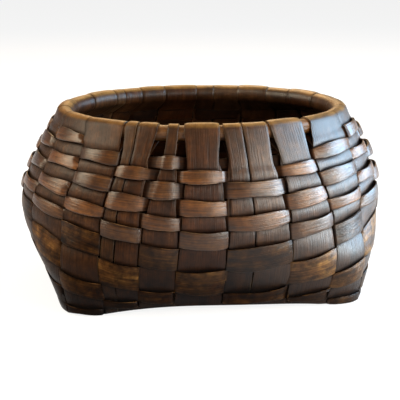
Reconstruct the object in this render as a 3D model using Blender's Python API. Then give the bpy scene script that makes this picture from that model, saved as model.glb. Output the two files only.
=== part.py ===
"""A rectangular splint basket with a wrapped round rim.

Thin, hand-split strips of hardwood make the whole basket. The uprights are long strips that
run up one side, across the base and up the other side. They weave over and under each other
in the base, bend up at its edge, and at the top fold over a round hoop rod and tuck back
down the inside. Narrower strips, the weavers, go round the wall in rows, outside one
upright and inside the next.

Every strip is laid out on one middle surface, which is a rounded rectangle at the base,
bulges at the belly and ends in an oval at the rim. A place on the wall is given by two
numbers: turn, the share of the way round from the middle of the front towards the right,
and rise, the share of the way up the wall. A strip's layer is its distance outwards from
that surface.

Units are metres, +Z is up, the front faces -Y, and the origin is on the floor under the
middle of the basket.
"""

import math
from dataclasses import dataclass

import bmesh
import bpy
import numpy as np
from mathutils import Vector

# Overall form
BASE_LENGTH = 0.247
BASE_DEPTH = 0.188
BELLY_LENGTH = 0.300
BELLY_DEPTH = 0.233
BELLY_HEIGHT = 0.072
RIM_LENGTH = 0.231          # between the middles of the rod
RIM_DEPTH = 0.193
RIM_HEIGHT = 0.1445         # middle of the rod above the floor
RIM_SHIFT = 0.002           # how far the whole rim stands to the right
BASE_LEAN = math.radians(8)
RIM_LEAN = math.radians(22)

# How square the plan is: 2 is an oval, a high value is a rectangle with small corners
BASE_SQUARENESS = 7.3
BELLY_SQUARENESS = 2.2
RIM_SQUARENESS = 2.05

# The base stands on its four corners and is arched between them
FRONT_ARCH = 0.0042
SIDE_ARCH = 0.004
ARCH_FADE = 0.30            # share of the wall over which the arch dies away

# Strips and rod
SPLINT_THICKNESS = 0.0010
LAYER_CLEARANCE = 0.0003
ROD_DIAMETER = 0.012
ROD_CLEARANCE = 0.00035
BEND_LENGTH = 0.0012        # how far the bend at the base edge reaches each way
BEND_SHARE = 0.6            # and the most it takes of the room beside the last crossing
UPRIGHT_GAP = 0.0034        # between neighbouring uprights
PAIR_GAP = 0.0010           # between two narrow uprights that share one place
WEAVER_BULGE = 0.0012       # how far a weaver stands proud where it crosses outside

# Lines between the rows of weaving, from the rim down: how far up the wall each one lies
# at the middle of the front and back, and how much higher at the middle of the ends. The
# last two rows are short ones that fill the wall where the others rise towards the ends
ROW_LINES = (
    (0.1405, 0.0040),
    (0.1315, 0.0045),
    (0.1220, 0.0050),
    (0.1120, 0.0070),
    (0.0990, 0.0115),
    (0.0860, 0.0155),
    (0.0740, 0.0200),
    (0.0600, 0.0260),
    (0.0385, 0.0340),
    (0.0140, 0.0370),
    (0.0020, 0.0310),
    (0.0002, 0.0125),
    (0.0006, 0.0),
)
ROW_GAP = 0.0017            # between neighbouring rows

# Ends of the uprights, folded over the rod and tucked down inside
TAIL_END = 0.0025           # how far a tail shows below the last weaver that holds it
TAIL_TAPER = 0.12           # share of the width taken off each side at a tail's end
WRAP_STEPS = 7
ROD_SIDES = 8

# Where the uprights stand, as turns from the middle of their side. Neighbours share a line,
# except near the rim at the front, where each has a left and a right edge of its own
BASE_TURNS = (-0.146, -0.108, -0.076, -0.042, 0.005, 0.069, 0.109, 0.146)
MIDDLE_TURNS = (-0.153, -0.111, -0.073, -0.038, 0.006, 0.065, 0.112, 0.152)
SHOULDER_TURNS = ((-0.149, -0.107), (-0.102, -0.076), (-0.060, -0.048), (-0.035, -0.005),
                  (0.007, 0.051), (0.062, 0.0955), (0.100, 0.162))
RIM_TURNS = ((-0.161, -0.110), (-0.107, -0.070), (-0.059, -0.047), (-0.041, -0.002),
             (0.002, 0.052), (0.055, 0.097), (0.109, 0.165))
BACK_SHOULDER_TURNS = (-0.151, -0.109, -0.069, -0.034, 0.010, 0.068, 0.112, 0.148)
BACK_RIM_TURNS = (-0.150, -0.108, -0.066, -0.032, 0.012, 0.070, 0.112, 0.146)
LEVELS = (                  # rise, lines round the back, edges at the front if its own
    (0.0, BASE_TURNS, None),
    (0.5, MIDDLE_TURNS, None),
    (0.84, BACK_SHOULDER_TURNS, SHOULDER_TURNS),
    (1.0, BACK_RIM_TURNS, RIM_TURNS),
)
END_COUNT = 4               # long uprights, which end in the two short walls

# Places that two narrow strips share: place number and the share of the first strip
PAIRED_PLACES = {1: 0.37, 4: 0.42}

# The top row misses this upright at the front and runs behind it
TOP_ROW_MISSES = 4

LAYER = SPLINT_THICKNESS + LAYER_CLEARANCE
HALF_LAYER = LAYER / 2
HALF_THICKNESS = SPLINT_THICKNESS / 2
FOOT = HALF_LAYER + HALF_THICKNESS
WRAP_RADIUS = ROD_DIAMETER / 2 + ROD_CLEARANCE + HALF_THICKNESS
FRONT_COUNT = len(BASE_TURNS) - 1
PLACE_COUNT = 2 * (FRONT_COUNT + END_COUNT)
BACK_PLACES = 2 * FRONT_COUNT + END_COUNT - 1     # last place at the back
FILLER_ROW = 0              # short extra row under the rim, round the back
CORNER_ROW = len(ROW_LINES) - 2   # the lowest, at the front corners only
LOW_ROW = CORNER_ROW - 1    # round each end, from the front to the back
ROW_COUNT = LOW_ROW - 1     # rows that go all the way round
LAP_PLACES = 3              # uprights past which a weaver's end lies on its beginning
LOW_PLACES = 9              # uprights that a low row passes
LOW_STARTS = {"left": BACK_PLACES - 1, "right": FRONT_COUNT - 3}
CORNER_STARTS = {"left": PLACE_COUNT - 1, "right": FRONT_COUNT - 2}
OUTLINE_ANGLES = np.linspace(-math.pi / 2, 3 * math.pi / 2, 1441)
CROSSING_STEPS = 6
SMALL_TURN = 0.002
SMALL_RISE = 0.004
UP = Vector((0, 0, 1))


@dataclass(frozen=True)
class Upright:
    """One strip end that stands at a place in the wall, or one of two that share it."""

    place: int
    first_share: float = 0.0
    last_share: float = 1.0


def smooth_step(value, start, end):
    """Go smoothly from 0 at start to 1 at end."""
    share = min(max((value - start) / (end - start), 0.0), 1.0)
    return share * share * (3 - 2 * share)


def bend_between(start, end, slope_at_start, slope_at_end, share):
    """Cubic curve between two values with a given slope at each end."""
    square, cube = share ** 2, share ** 3
    return (start * (2 * cube - 3 * square + 1) + end * (3 * square - 2 * cube)
            + slope_at_start * (cube - 2 * square + share) + slope_at_end * (cube - square))


# The wall ends where it first touches the rod, as seen in the rod's cross-section
WALL_HEIGHT = RIM_HEIGHT + WRAP_RADIUS * math.sin(RIM_LEAN) - FOOT
RIM_REACH = WRAP_RADIUS * math.cos(RIM_LEAN)
BELLY_RISE = BELLY_HEIGHT - FOOT


def half_width(height, base, belly, rim):
    """Half of the basket's length or depth at a height above the base layer."""
    if height < BELLY_RISE:
        slope = math.tan(BASE_LEAN) * BELLY_RISE
        return bend_between(base / 2, belly / 2, slope, 0.0, height / BELLY_RISE)
    span = WALL_HEIGHT - BELLY_RISE
    slope = -math.tan(RIM_LEAN) * span
    share = (height - BELLY_RISE) / span
    return bend_between(belly / 2, rim / 2 + RIM_REACH, 0.0, slope, share)


def squareness(height):
    """How square the plan is at a height above the base layer."""
    if height < BELLY_RISE:
        share = (1 - height / BELLY_RISE) ** 2
        return BELLY_SQUARENESS + (BASE_SQUARENESS - BELLY_SQUARENESS) * share
    share = (height - BELLY_RISE) / (WALL_HEIGHT - BELLY_RISE)
    return BELLY_SQUARENESS + (RIM_SQUARENESS - BELLY_SQUARENESS) * share


PROFILE_HEIGHTS = np.linspace(0.0, WALL_HEIGHT, 241)
PROFILE_DEPTHS = np.array([half_width(h, BASE_DEPTH, BELLY_DEPTH, RIM_DEPTH)
                           for h in PROFILE_HEIGHTS])
PROFILE_STEPS = np.hypot(np.diff(PROFILE_HEIGHTS), np.diff(PROFILE_DEPTHS))
PROFILE_LENGTHS = np.concatenate([[0.0], np.cumsum(PROFILE_STEPS)])
WALL_LENGTH = float(PROFILE_LENGTHS[-1])


def plan_outline(rise):
    """The plan at a rise: running length and position of points all the way round."""
    height = float(np.interp(rise * WALL_LENGTH, PROFILE_LENGTHS, PROFILE_HEIGHTS))
    a = half_width(height, BASE_LENGTH, BELLY_LENGTH, RIM_LENGTH)
    b = half_width(height, BASE_DEPTH, BELLY_DEPTH, RIM_DEPTH)
    n = squareness(height)
    cosine, sine = np.cos(OUTLINE_ANGLES), np.sin(OUTLINE_ANGLES)
    radius = (np.abs(cosine / a) ** n + np.abs(sine / b) ** n) ** (-1 / n)
    x = radius * cosine + RIM_SHIFT * smooth_step(height, BELLY_RISE, WALL_HEIGHT)
    y = radius * sine
    lengths = np.concatenate([[0.0], np.cumsum(np.hypot(np.diff(x), np.diff(y)))])
    return height, lengths, x, y


def girth(rise):
    """Length once round the wall at a rise."""
    return float(plan_outline(rise)[1][-1])


def plan_place(turn, rise):
    """Height and plan position of a place on the wall."""
    height, lengths, x, y = plan_outline(rise)
    length = (turn % 1.0) * lengths[-1]
    return height, float(np.interp(length, lengths, x)), float(np.interp(length, lengths, y))


def fade_from_corner(distance, reach):
    """1 in the middle of a side, and 0 from the corner squares outwards."""
    return max(0.0, 1 - abs(distance / reach) ** 3)


def base_arch(x, y):
    """Height of the base above its level at the corners."""
    return (FRONT_ARCH * fade_from_corner(x, ARCH_REACH_X)
            + SIDE_ARCH * fade_from_corner(y, ARCH_REACH_Y))


def wall_middle(turn, rise):
    """Point on the middle surface of the wall."""
    height, x, y = plan_place(turn, rise)
    fade = max(0.0, 1 - rise / ARCH_FADE) ** 2
    arch = 0.0
    if fade > 0:
        arch = fade * base_arch(*plan_place(turn, 0.0)[1:])
    return Vector((x, y, FOOT + height + arch))


def wall_normal(turn, rise):
    """Outward direction of the middle surface."""
    along = wall_middle(turn + SMALL_TURN, rise) - wall_middle(turn - SMALL_TURN, rise)
    lower, upper = max(rise - SMALL_RISE, 0.0), min(rise + SMALL_RISE, 1.0)
    upwards = wall_middle(turn, upper) - wall_middle(turn, lower)
    return along.cross(upwards).normalized()


def plan_normal(turn, rise):
    """Outward direction of the plan, level with the floor."""
    along = wall_middle(turn + SMALL_TURN, rise) - wall_middle(turn - SMALL_TURN, rise)
    return along.cross(UP).normalized()


def spans_between(lines, gap):
    """Turns of the left and right edges of neighbours, with a gap at each line."""
    return [(left + gap / 2, right - gap / 2) for left, right in zip(lines, lines[1:])]


def place_turns(rise, lines, front):
    """Turns of the left and right edge of every place at a rise, the ends shared evenly."""
    gap = UPRIGHT_GAP / girth(rise)
    spans = spans_between(lines, gap)
    front = front or spans
    back = [(0.5 - right, 0.5 - left) for left, right in reversed(spans)]
    ends = []
    for start, end in ((front[-1][1], back[0][0]), (back[-1][1], 1 + front[0][0])):
        shared = np.linspace(start + gap / 2, end - gap / 2, END_COUNT + 1)
        ends.append(spans_between(shared, gap))
    return [*front, *ends[0], *back, *ends[1]]


LEVEL_RISES = [level[0] for level in LEVELS]
LEVEL_TURNS = np.array([place_turns(*level) for level in LEVELS])


def upright_turns(upright, rise):
    """Turns of an upright's left and right edges, as seen from outside."""
    laps, place = divmod(upright.place, PLACE_COUNT)
    left, right = (laps + float(np.interp(rise, LEVEL_RISES, LEVEL_TURNS[:, place, hand]))
                   for hand in (0, 1))
    width = right - left
    inset = PAIR_GAP / 2 / girth(rise)
    first, last = upright.first_share, upright.last_share
    return (left + first * width + (inset if first > 0 else 0.0),
            left + last * width - (inset if last < 1 else 0.0))


ARCH_REACH_X = abs(plan_place(BASE_TURNS[1], 0.0)[1])
ARCH_REACH_Y = abs(plan_place(upright_turns(Upright(FRONT_COUNT), 0.0)[1], 0.0)[2])


def row_rise(row, side, turn):
    """Rise of a row's lower edge (side 0) or upper edge (side 1)."""
    height, lift = ROW_LINES[row + 1 - side]
    inwards = ROW_GAP / 2 if side == 0 else -ROW_GAP / 2
    return (height + lift * math.sin(2 * math.pi * turn) ** 2 + inwards) / WALL_LENGTH


def crossing(upright, hand, row, side):
    """Turn and rise where an edge of an upright crosses an edge of a row."""
    turn = upright_turns(upright, 0.0)[hand]
    for _ in range(CROSSING_STEPS):
        rise = row_rise(row, side, turn)
        turn = upright_turns(upright, rise)[hand]
    return turn, rise


def has_filler(place):
    """Whether the short row under the rim crosses an upright: it goes round the back."""
    return place % PLACE_COUNT == 0 or place % PLACE_COUNT >= FRONT_COUNT - 1


def starts_near(starts, count, place):
    """Whether a place is among the few from any of the starts on."""
    return any((place - start) % PLACE_COUNT < count for start in starts.values())


def rows_at(place):
    """The rows that cross an upright, from the base edge up."""
    rows = list(range(ROW_COUNT, FILLER_ROW, -1))
    if starts_near(LOW_STARTS, LOW_PLACES, place):
        rows.insert(0, LOW_ROW)
    if starts_near(CORNER_STARTS, LAP_PLACES, place):
        rows.insert(0, CORNER_ROW)
    if has_filler(place):
        rows.append(FILLER_ROW)
    return rows


def weaver_outside(row, place):
    """Whether a row lies outside the upright at a place."""
    if row == 1 and place % PLACE_COUNT == TOP_ROW_MISSES:
        return False
    return (row + place) % 2 == 1


def last_tail_row(place):
    """The lowest row that holds the tail of an upright."""
    return 4 if place % 2 == 0 else 3


def upright_layer(row, place):
    """Layer of an upright where a row crosses it."""
    return -HALF_LAYER if weaver_outside(row, place) else HALF_LAYER


def weaver_layer(row, place):
    """Layer of a row at an upright, inside the tail where there is one."""
    if weaver_outside(row, place):
        return HALF_LAYER
    held = FILLER_ROW < row <= last_tail_row(place)
    return -HALF_LAYER - LAYER if held else -HALF_LAYER


def on_wall(turn, rise, layer):
    """Middle point of a strip on the wall, and the direction of its outer face."""
    normal = wall_normal(turn, rise)
    return wall_middle(turn, rise) + layer * normal, normal


def turned_over(edge):
    """The same point with the strip's faces swapped, for a tail folded inside."""
    return edge[0], -edge[1]


def between(first, second, share):
    """A point and direction between two others."""
    return first[0].lerp(second[0], share), first[1].lerp(second[1], share)


def edge_points(upright, row, side, layer):
    """Left and right edge of an upright where it crosses an edge of a row."""
    return [on_wall(*crossing(upright, hand, row, side), layer) for hand in (0, 1)]


def rod_section(turn):
    """Middle of the rod at a turn, and the outward level direction there."""
    outward = plan_normal(turn, 1.0)
    reach = math.cos(RIM_LEAN) * outward + math.sin(RIM_LEAN) * UP
    return wall_middle(turn, 1.0) - WRAP_RADIUS * reach, outward


def wrap_over_rod(upright, tail_starts):
    """Stations of an upright over the rod, from its outside round to below its inside."""
    turns = upright_turns(upright, 1.0)
    stations = []
    for step in range(WRAP_STEPS + 1):
        station = []
        for turn, start in zip(turns, tail_starts):
            middle, outward = rod_section(turn)
            away = start[0] - middle
            distance = math.hypot(away.dot(outward), away.z)
            direction = math.atan2(away.z, away.dot(outward)) % math.tau
            last_angle = direction - math.acos(WRAP_RADIUS / distance)
            angle = RIM_LEAN + (last_angle - RIM_LEAN) * step / WRAP_STEPS
            radial = math.cos(angle) * outward + math.sin(angle) * UP
            station.append((middle + WRAP_RADIUS * radial, radial))
        stations.append(station)
    return stations


def tail_stations(upright):
    """Stations of the tail inside, from the top row down to its end."""
    place = upright.place
    last = last_tail_row(place)
    stations = []
    for row in range(1, last + 2):
        layer = upright_layer(row, place) - LAYER
        corners = [[turned_over(edge) for edge in edge_points(upright, row, side, layer)]
                   for side in (1, 0)]
        if row <= last:
            stations.extend(corners)
            continue
        share = TAIL_END / (ROW_LINES[row][0] - ROW_LINES[row + 1][0])
        stations.append(corners[0])
        stations.append([between(corners[0][hand], corners[1][hand], share)
                         for hand in (0, 1)])
    for index, (left, right) in enumerate(stations):
        taper = TAIL_TAPER * index / (len(stations) - 1)
        stations[index] = [between(left, right, taper), between(left, right, 1 - taper)]
    return stations


def wall_stations(upright):
    """Stations of an upright on the wall, from the base edge up to where it meets the rod."""
    place = upright.place
    stations = []
    for row in rows_at(place):
        layer = upright_layer(row, place)
        stations.extend(edge_points(upright, row, side, layer) for side in (0, 1))
    top_rise = max(row_rise(row, 1, turn) for turn in upright_turns(upright, 1.0))
    rise = (top_rise + 1.0) / 2
    stations.append([on_wall(turn, rise, 0.0) for turn in upright_turns(upright, rise)])
    return stations


def base_point(x, y, layer):
    """Middle point of a strip in the base, whose outer face looks down."""
    return Vector((x, y, FOOT + base_arch(x, y) - layer)), -UP


def base_side(place):
    """Plan axis that points out of the side where a place stands, and its direction."""
    if place < FRONT_COUNT:
        return 1, -1
    if place < FRONT_COUNT + END_COUNT:
        return 0, 1
    if place < 2 * FRONT_COUNT + END_COUNT:
        return 1, 1
    return 0, -1


def base_bend(upright):
    """Three stations round the bend, from the base up into the wall."""
    axis, direction = base_side(upright.place)
    lines = LONG_LINES if axis == 1 else SHORT_LINES
    outermost = lines[-1][2] if direction > 0 else lines[0][1]
    stations = [[], [], []]
    for turn in upright_turns(upright, 0.0):
        edge = list(plan_place(turn, 0.0)[1:])
        room = (edge[axis] - outermost) * direction
        inboard = list(edge)
        inboard[axis] -= direction * min(BEND_LENGTH, room * BEND_SHARE)
        start = base_point(*inboard, 0.0)
        corner = base_point(*edge, 0.0)[0]
        end = on_wall(turn, BEND_LENGTH / WALL_LENGTH, 0.0)
        halfway = start[0] * 0.25 + corner * 0.5 + end[0] * 0.25
        middle = (halfway, (start[1] + end[1]).normalized())
        for station, point in zip(stations, (start, middle, end)):
            station.append(point)
    return stations


def upright_end(upright):
    """Stations of one standing end, from the base edge to the end of its tail."""
    tail = tail_stations(upright)
    return [*base_bend(upright), *wall_stations(upright),
            *wrap_over_rod(upright, tail[0]), *tail]


def uprights_at(place):
    """The one or two uprights that stand at a place, from left to right."""
    position = place % PLACE_COUNT
    at_front = position < FRONT_COUNT
    column = position if at_front else BACK_PLACES - position
    if column not in PAIRED_PLACES:
        return [Upright(place)]
    split = PAIRED_PLACES[column] if at_front else 1 - PAIRED_PLACES[column]
    return [Upright(place, 0.0, split), Upright(place, split, 1.0)]


def base_lines(first_place, count, axis):
    """Number and two plan coordinates of each strip that a crossing strip meets in the base."""
    lines = []
    for number in range(count):
        for upright in uprights_at(first_place + number):
            ends = [plan_place(turn, 0.0)[axis + 1] for turn in upright_turns(upright, 0.0)]
            lines.append((number, *ends))
    return lines


SHORT_LINES = base_lines(0, FRONT_COUNT, 0)
LONG_LINES = base_lines(FRONT_COUNT, END_COUNT, 1)


def short_below(column, line):
    """Whether a strip that runs front to back lies below one that runs left to right."""
    return (column + line) % 2 == 1


def fold_outwards(corners):
    """Split a face of four corners along the diagonal that lies further out.

    Crossing strips share the corners of their crossing, so they fold alike and stay parallel.
    """
    first, second, third, fourth = corners
    centre = first.co + second.co + third.co + fourth.co
    outward = Vector((centre.x, centre.y, 0.0))
    if (first.co + third.co - second.co - fourth.co).dot(outward) > 0:
        return (first, second, third), (first, third, fourth)
    return (second, third, fourth), (second, fourth, first)


def make_strip(name, stations, colour):
    """Closed solid of a strip from stations, each with a left and a right edge point."""
    mesh = bmesh.new()
    rings = []
    for left, right in stations:
        corners = (left[0] + HALF_THICKNESS * left[1], right[0] + HALF_THICKNESS * right[1],
                   right[0] - HALF_THICKNESS * right[1], left[0] - HALF_THICKNESS * left[1])
        rings.append([mesh.verts.new(corner) for corner in corners])
    for ring, following in zip(rings, rings[1:]):
        for side in range(4):
            after = (side + 1) % 4
            corners = (ring[side], ring[after], following[after], following[side])
            for face in fold_outwards(corners):
                mesh.faces.new(face)
    mesh.faces.new(reversed(rings[0]))
    mesh.faces.new(rings[-1])
    return finish_object(name, mesh, colour)


def finish_object(name, mesh, colour):
    """Turn a bmesh into a named object with its own material."""
    bmesh.ops.recalc_face_normals(mesh, faces=mesh.faces)
    data = bpy.data.meshes.new(name)
    mesh.to_mesh(data)
    mesh.free()
    data.shade_smooth()
    data.set_sharp_from_angle(angle=math.radians(35))
    item = bpy.data.objects.new(name, data)
    bpy.context.scene.collection.objects.link(item)
    material = bpy.data.materials.new(name + "_wood")
    material.use_nodes = True
    shader = material.node_tree.nodes["Principled BSDF"]
    shader.inputs["Base Color"].default_value = (*colour, 1.0)
    shader.inputs["Roughness"].default_value = 0.45
    shader.inputs["Metallic"].default_value = 0.0
    data.materials.append(material)
    return item


def shade(colour, number):
    """A slightly different tone of a colour for each strip."""
    factor = 0.85 + 0.3 * ((number * 0.618) % 1.0)
    return tuple(channel * factor for channel in colour)


UPRIGHT_WOOD = (0.110, 0.075, 0.050)
WEAVER_WOOD = (0.140, 0.062, 0.028)
ROD_WOOD = (0.170, 0.095, 0.045)


def build_short_uprights():
    """Strips that run up the front, across the base and up the back."""
    number = 0
    for column in range(FRONT_COUNT):
        fronts = uprights_at(column)
        backs = uprights_at(BACK_PLACES - column)[::-1]
        for index, (front, back) in enumerate(zip(fronts, backs)):
            edges = [plan_place(turn, 0.0)[1] for turn in upright_turns(front, 0.0)]
            base = []
            for line, *ends in LONG_LINES:
                layer = HALF_LAYER if short_below(column, line) else -HALF_LAYER
                base.extend([base_point(x, y, layer) for x in edges] for y in ends)
            far_end = [[right, left] for left, right in upright_end(back)]
            stations = [*reversed(upright_end(front)), *base, *far_end]
            suffix = "ab"[index] if len(fronts) > 1 else ""
            number += 1
            make_strip(f"short_upright_{column + 1}{suffix}", stations,
                       shade(UPRIGHT_WOOD, number))


def build_long_uprights():
    """Strips that run up the left end, across the base and up the right end."""
    for line in range(END_COUNT):
        right_end = Upright(FRONT_COUNT + line)
        left_end = Upright(PLACE_COUNT - 1 - line)
        edges = [plan_place(turn, 0.0)[2] for turn in upright_turns(right_end, 0.0)]
        base = []
        for column, *ends in SHORT_LINES:
            layer = -HALF_LAYER if short_below(column, line) else HALF_LAYER
            base.extend([base_point(x, y, layer) for y in edges] for x in ends)
        start = [[right, left] for left, right in upright_end(left_end)]
        stations = [*reversed(start), *base, *upright_end(right_end)]
        make_strip(f"long_upright_{line + 1}", stations, shade(UPRIGHT_WOOD, -line))


def weaver_crossing(row, place, shift):
    """Stations of a weaver past one place, with a crest where it lies outside."""
    layer = weaver_layer(row, place) + shift
    bulge = WEAVER_BULGE if weaver_outside(row, place) else 0.0
    spots = [[crossing(upright, hand, row, side) for side in (0, 1)]
             for upright in uprights_at(place) for hand in (0, 1)]
    if bulge and len(spots) == 2:
        turn = (spots[0][0][0] + spots[1][0][0]) / 2
        spots.insert(1, [(turn, row_rise(row, side, turn)) for side in (0, 1)])
    layers = [layer] + [layer + bulge] * (len(spots) - 2) + [layer]
    return [[on_wall(*spot, level) for spot in pair] for pair, level in zip(spots, layers)]


def weaver_stations(row, first, count, shifts):
    """Stations of a weaver past a number of places; it starts and ends behind uprights."""
    stations = []
    for index in range(count):
        past = weaver_crossing(row, first + index, shifts.get(index, 0.0))
        if index in (0, count - 1):
            if len(past) == 2:
                middle = [between(left, right, 0.5) for left, right in zip(*past)]
                past = [past[0], middle, middle, past[1]]
            past = past[2:] if index == 0 else past[:2]
        stations.extend(past)
    return stations


def build_weavers():
    """The rows of weaving: each is one strip whose end laps outside its beginning."""
    for row in range(1, ROW_COUNT + 1):
        first = BACK_PLACES - 3 + 5 * row
        if weaver_outside(row, first):
            first += 1
        shifts = {0: -LAYER, 2: -LAYER, PLACE_COUNT + 1: LAYER}
        stations = weaver_stations(row, first, PLACE_COUNT + LAP_PLACES, shifts)
        make_strip(f"weaver_row_{row}", stations, shade(WEAVER_WOOD, row))


def build_fillers():
    """The short rows: under the rim round the back, and low down round ends and corners."""
    first = FRONT_COUNT - 1
    count = PLACE_COUNT - first + 1
    pushed_in = {0: -LAYER, 2: -LAYER, count - 3: -LAYER, count - 1: -LAYER}
    stations = weaver_stations(FILLER_ROW, first, count, pushed_in)
    make_strip("filler_weaver", stations, shade(WEAVER_WOOD, 0))
    for side, start in (("right", first), ("left", PLACE_COUNT - LAP_PLACES + 1)):
        stations = weaver_stations(FILLER_ROW, start, LAP_PLACES, {1: LAYER})
        make_strip(f"filler_lap_{side}", stations, shade(WEAVER_WOOD, 4))
    for side, start in LOW_STARTS.items():
        stations = weaver_stations(LOW_ROW, start, LOW_PLACES, {})
        make_strip(f"low_filler_{side}", stations, shade(WEAVER_WOOD, LOW_ROW))
    for side, start in CORNER_STARTS.items():
        stations = weaver_stations(CORNER_ROW, start, LAP_PLACES, {})
        make_strip(f"corner_filler_{side}", stations, shade(WEAVER_WOOD, CORNER_ROW))


def build_rod():
    """The round hoop rod, with a section at each edge of each upright's wrap."""
    mesh = bmesh.new()
    rings = []
    uprights = [item for place in range(PLACE_COUNT) for item in uprights_at(place)]
    for turn in [turn for item in uprights for turn in upright_turns(item, 1.0)]:
        middle, outward = rod_section(turn)
        ring = []
        for side in range(ROD_SIDES):
            angle = math.tau * side / ROD_SIDES
            radial = math.cos(angle) * outward + math.sin(angle) * UP
            ring.append(mesh.verts.new(middle + ROD_DIAMETER / 2 * radial))
        rings.append(ring)
    for index, ring in enumerate(rings):
        following = rings[(index + 1) % len(rings)]
        for side in range(ROD_SIDES):
            after = (side + 1) % ROD_SIDES
            mesh.faces.new((ring[side], ring[after], following[after], following[side]))
    finish_object("rim_rod", mesh, ROD_WOOD)


def main():
    for item in list(bpy.data.objects):
        bpy.data.objects.remove(item, do_unlink=True)
    build_short_uprights()
    build_long_uprights()
    build_weavers()
    build_fillers()
    build_rod()


main()
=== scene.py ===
import logging
import math
from dataclasses import dataclass, field
from enum import Enum
from typing import Iterable, Sequence

import bpy
import numpy as np
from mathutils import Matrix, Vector


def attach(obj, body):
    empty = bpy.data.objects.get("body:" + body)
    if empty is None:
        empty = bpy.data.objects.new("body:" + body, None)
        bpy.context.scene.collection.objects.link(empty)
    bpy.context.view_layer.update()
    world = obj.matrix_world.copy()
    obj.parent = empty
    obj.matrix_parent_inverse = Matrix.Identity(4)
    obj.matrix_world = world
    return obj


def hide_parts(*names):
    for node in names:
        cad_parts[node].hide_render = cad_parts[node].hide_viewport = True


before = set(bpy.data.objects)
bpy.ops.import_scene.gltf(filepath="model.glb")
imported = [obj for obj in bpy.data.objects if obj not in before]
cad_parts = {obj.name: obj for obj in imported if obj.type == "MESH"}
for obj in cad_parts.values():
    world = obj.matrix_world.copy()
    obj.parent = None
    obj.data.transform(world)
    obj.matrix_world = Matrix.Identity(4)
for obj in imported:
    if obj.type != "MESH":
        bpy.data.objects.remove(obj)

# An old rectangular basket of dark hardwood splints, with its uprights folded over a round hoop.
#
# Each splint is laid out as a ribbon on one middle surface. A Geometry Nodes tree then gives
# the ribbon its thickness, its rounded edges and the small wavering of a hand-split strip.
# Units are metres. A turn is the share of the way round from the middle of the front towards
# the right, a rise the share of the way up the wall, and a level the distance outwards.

LOG = logging.getLogger("basket")
UP = np.array((0.0, 0.0, 1.0))
EVEN, EASED = "LINEAR", "SMOOTHSTEP"     # how a ramp goes from one value to the other
Pieces = list[tuple[bpy.types.Object, str]]     # each piece, and the solid that it replaces
Spans = list[tuple[int, float, float]]  # number and extent of each splint met in the base


def linear_colour(code: str) -> tuple[float, float, float, float]:
    """Turn an sRGB hex code into linear colour.

    Args:
        code: Six hex digits after a hash sign.

    Returns:
        Linear red, green and blue, and an alpha of 1.
    """
    channels = [int(code[start:start + 2], 16) / 255 for start in (1, 3, 5)]
    linear = [c / 12.92 if c <= 0.04045 else ((c + 0.055) / 1.055) ** 2.4 for c in channels]
    return (linear[0], linear[1], linear[2], 1.0)


def add_node(tree: bpy.types.NodeTree, kind: str, inputs: dict | None = None,
             **settings: object) -> bpy.types.Node:
    """Add a node, set its options and fill its inputs.

    Args:
        tree: The node tree that gets the node.
        kind: The node's type name.
        inputs: By the input's name or number, a value, a socket to link, or a node whose
            first output in use is linked.
        **settings: Options of the node itself.

    Returns:
        The new node.
    """
    node = tree.nodes.new(kind)
    for name, value in settings.items():
        setattr(node, name, value)
    for key, value in (inputs or {}).items():
        if isinstance(value, bpy.types.Node):
            value = next(socket for socket in value.outputs if socket.enabled)
        if isinstance(value, bpy.types.NodeSocket):
            tree.links.new(value, node.inputs[key])
        else:
            node.inputs[key].default_value = value
    return node


def new_shape_tree(name: str, numbers: dict[str, str]) -> bpy.types.NodeTree:
    """Start a Geometry Nodes tree whose inputs are a geometry, numbers and a material.

    Args:
        name: Name of the tree.
        numbers: Kind of socket of each number, by its name.

    Returns:
        The tree, with its inputs and its output named.
    """
    tree = bpy.data.node_groups.new(name, "GeometryNodeTree")
    kinds = {"Geometry": "Geometry", **numbers, "Material": "Material"}
    for label, kind in kinds.items():
        tree.interface.new_socket(label, in_out="INPUT", socket_type=f"NodeSocket{kind}")
    tree.interface.new_socket("Geometry", in_out="OUTPUT", socket_type="NodeSocketGeometry")
    return tree


def end_shape_tree(tree: bpy.types.NodeTree, shape: bpy.types.Node,
                   material: bpy.types.NodeSocket) -> None:
    """Shade a tree's shape smooth, make it real, give it its material and put it out.

    Args:
        tree: The tree to end.
        shape: Node that gives the shape.
        material: Socket that gives the material.
    """
    for kind, inputs in (("GeometryNodeSetShadeSmooth", {}),
                         ("GeometryNodeRealizeInstances", {}),
                         ("GeometryNodeSetMaterial", {"Material": material}),
                         ("NodeGroupOutput", {})):
        shape = add_node(tree, kind, {"Geometry": shape, **inputs})


def add_object(name: str, data: bpy.types.ID) -> bpy.types.Object:
    """Put new data in the scene as an object.

    Args:
        name: Name of the object.
        data: Its mesh, light or camera.

    Returns:
        The object.
    """
    item = bpy.data.objects.new(name, data)
    bpy.context.scene.collection.objects.link(item)
    return item


def smooth_step(value: np.ndarray, start: float, end: float) -> np.ndarray:
    """Go smoothly from 0 at start to 1 at end."""
    share = np.clip((value - start) / (end - start), 0.0, 1.0)
    return share * share * (3 - 2 * share)


def unit(vectors: np.ndarray) -> np.ndarray:
    """Scale vectors to a length of 1."""
    return vectors / np.linalg.norm(vectors, axis=-1, keepdims=True)


class Side(Enum):
    """The four sides of the basket, each with its plan axis and direction."""

    FRONT = (1, -1)
    RIGHT = (0, 1)
    BACK = (1, 1)
    LEFT = (0, -1)


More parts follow.
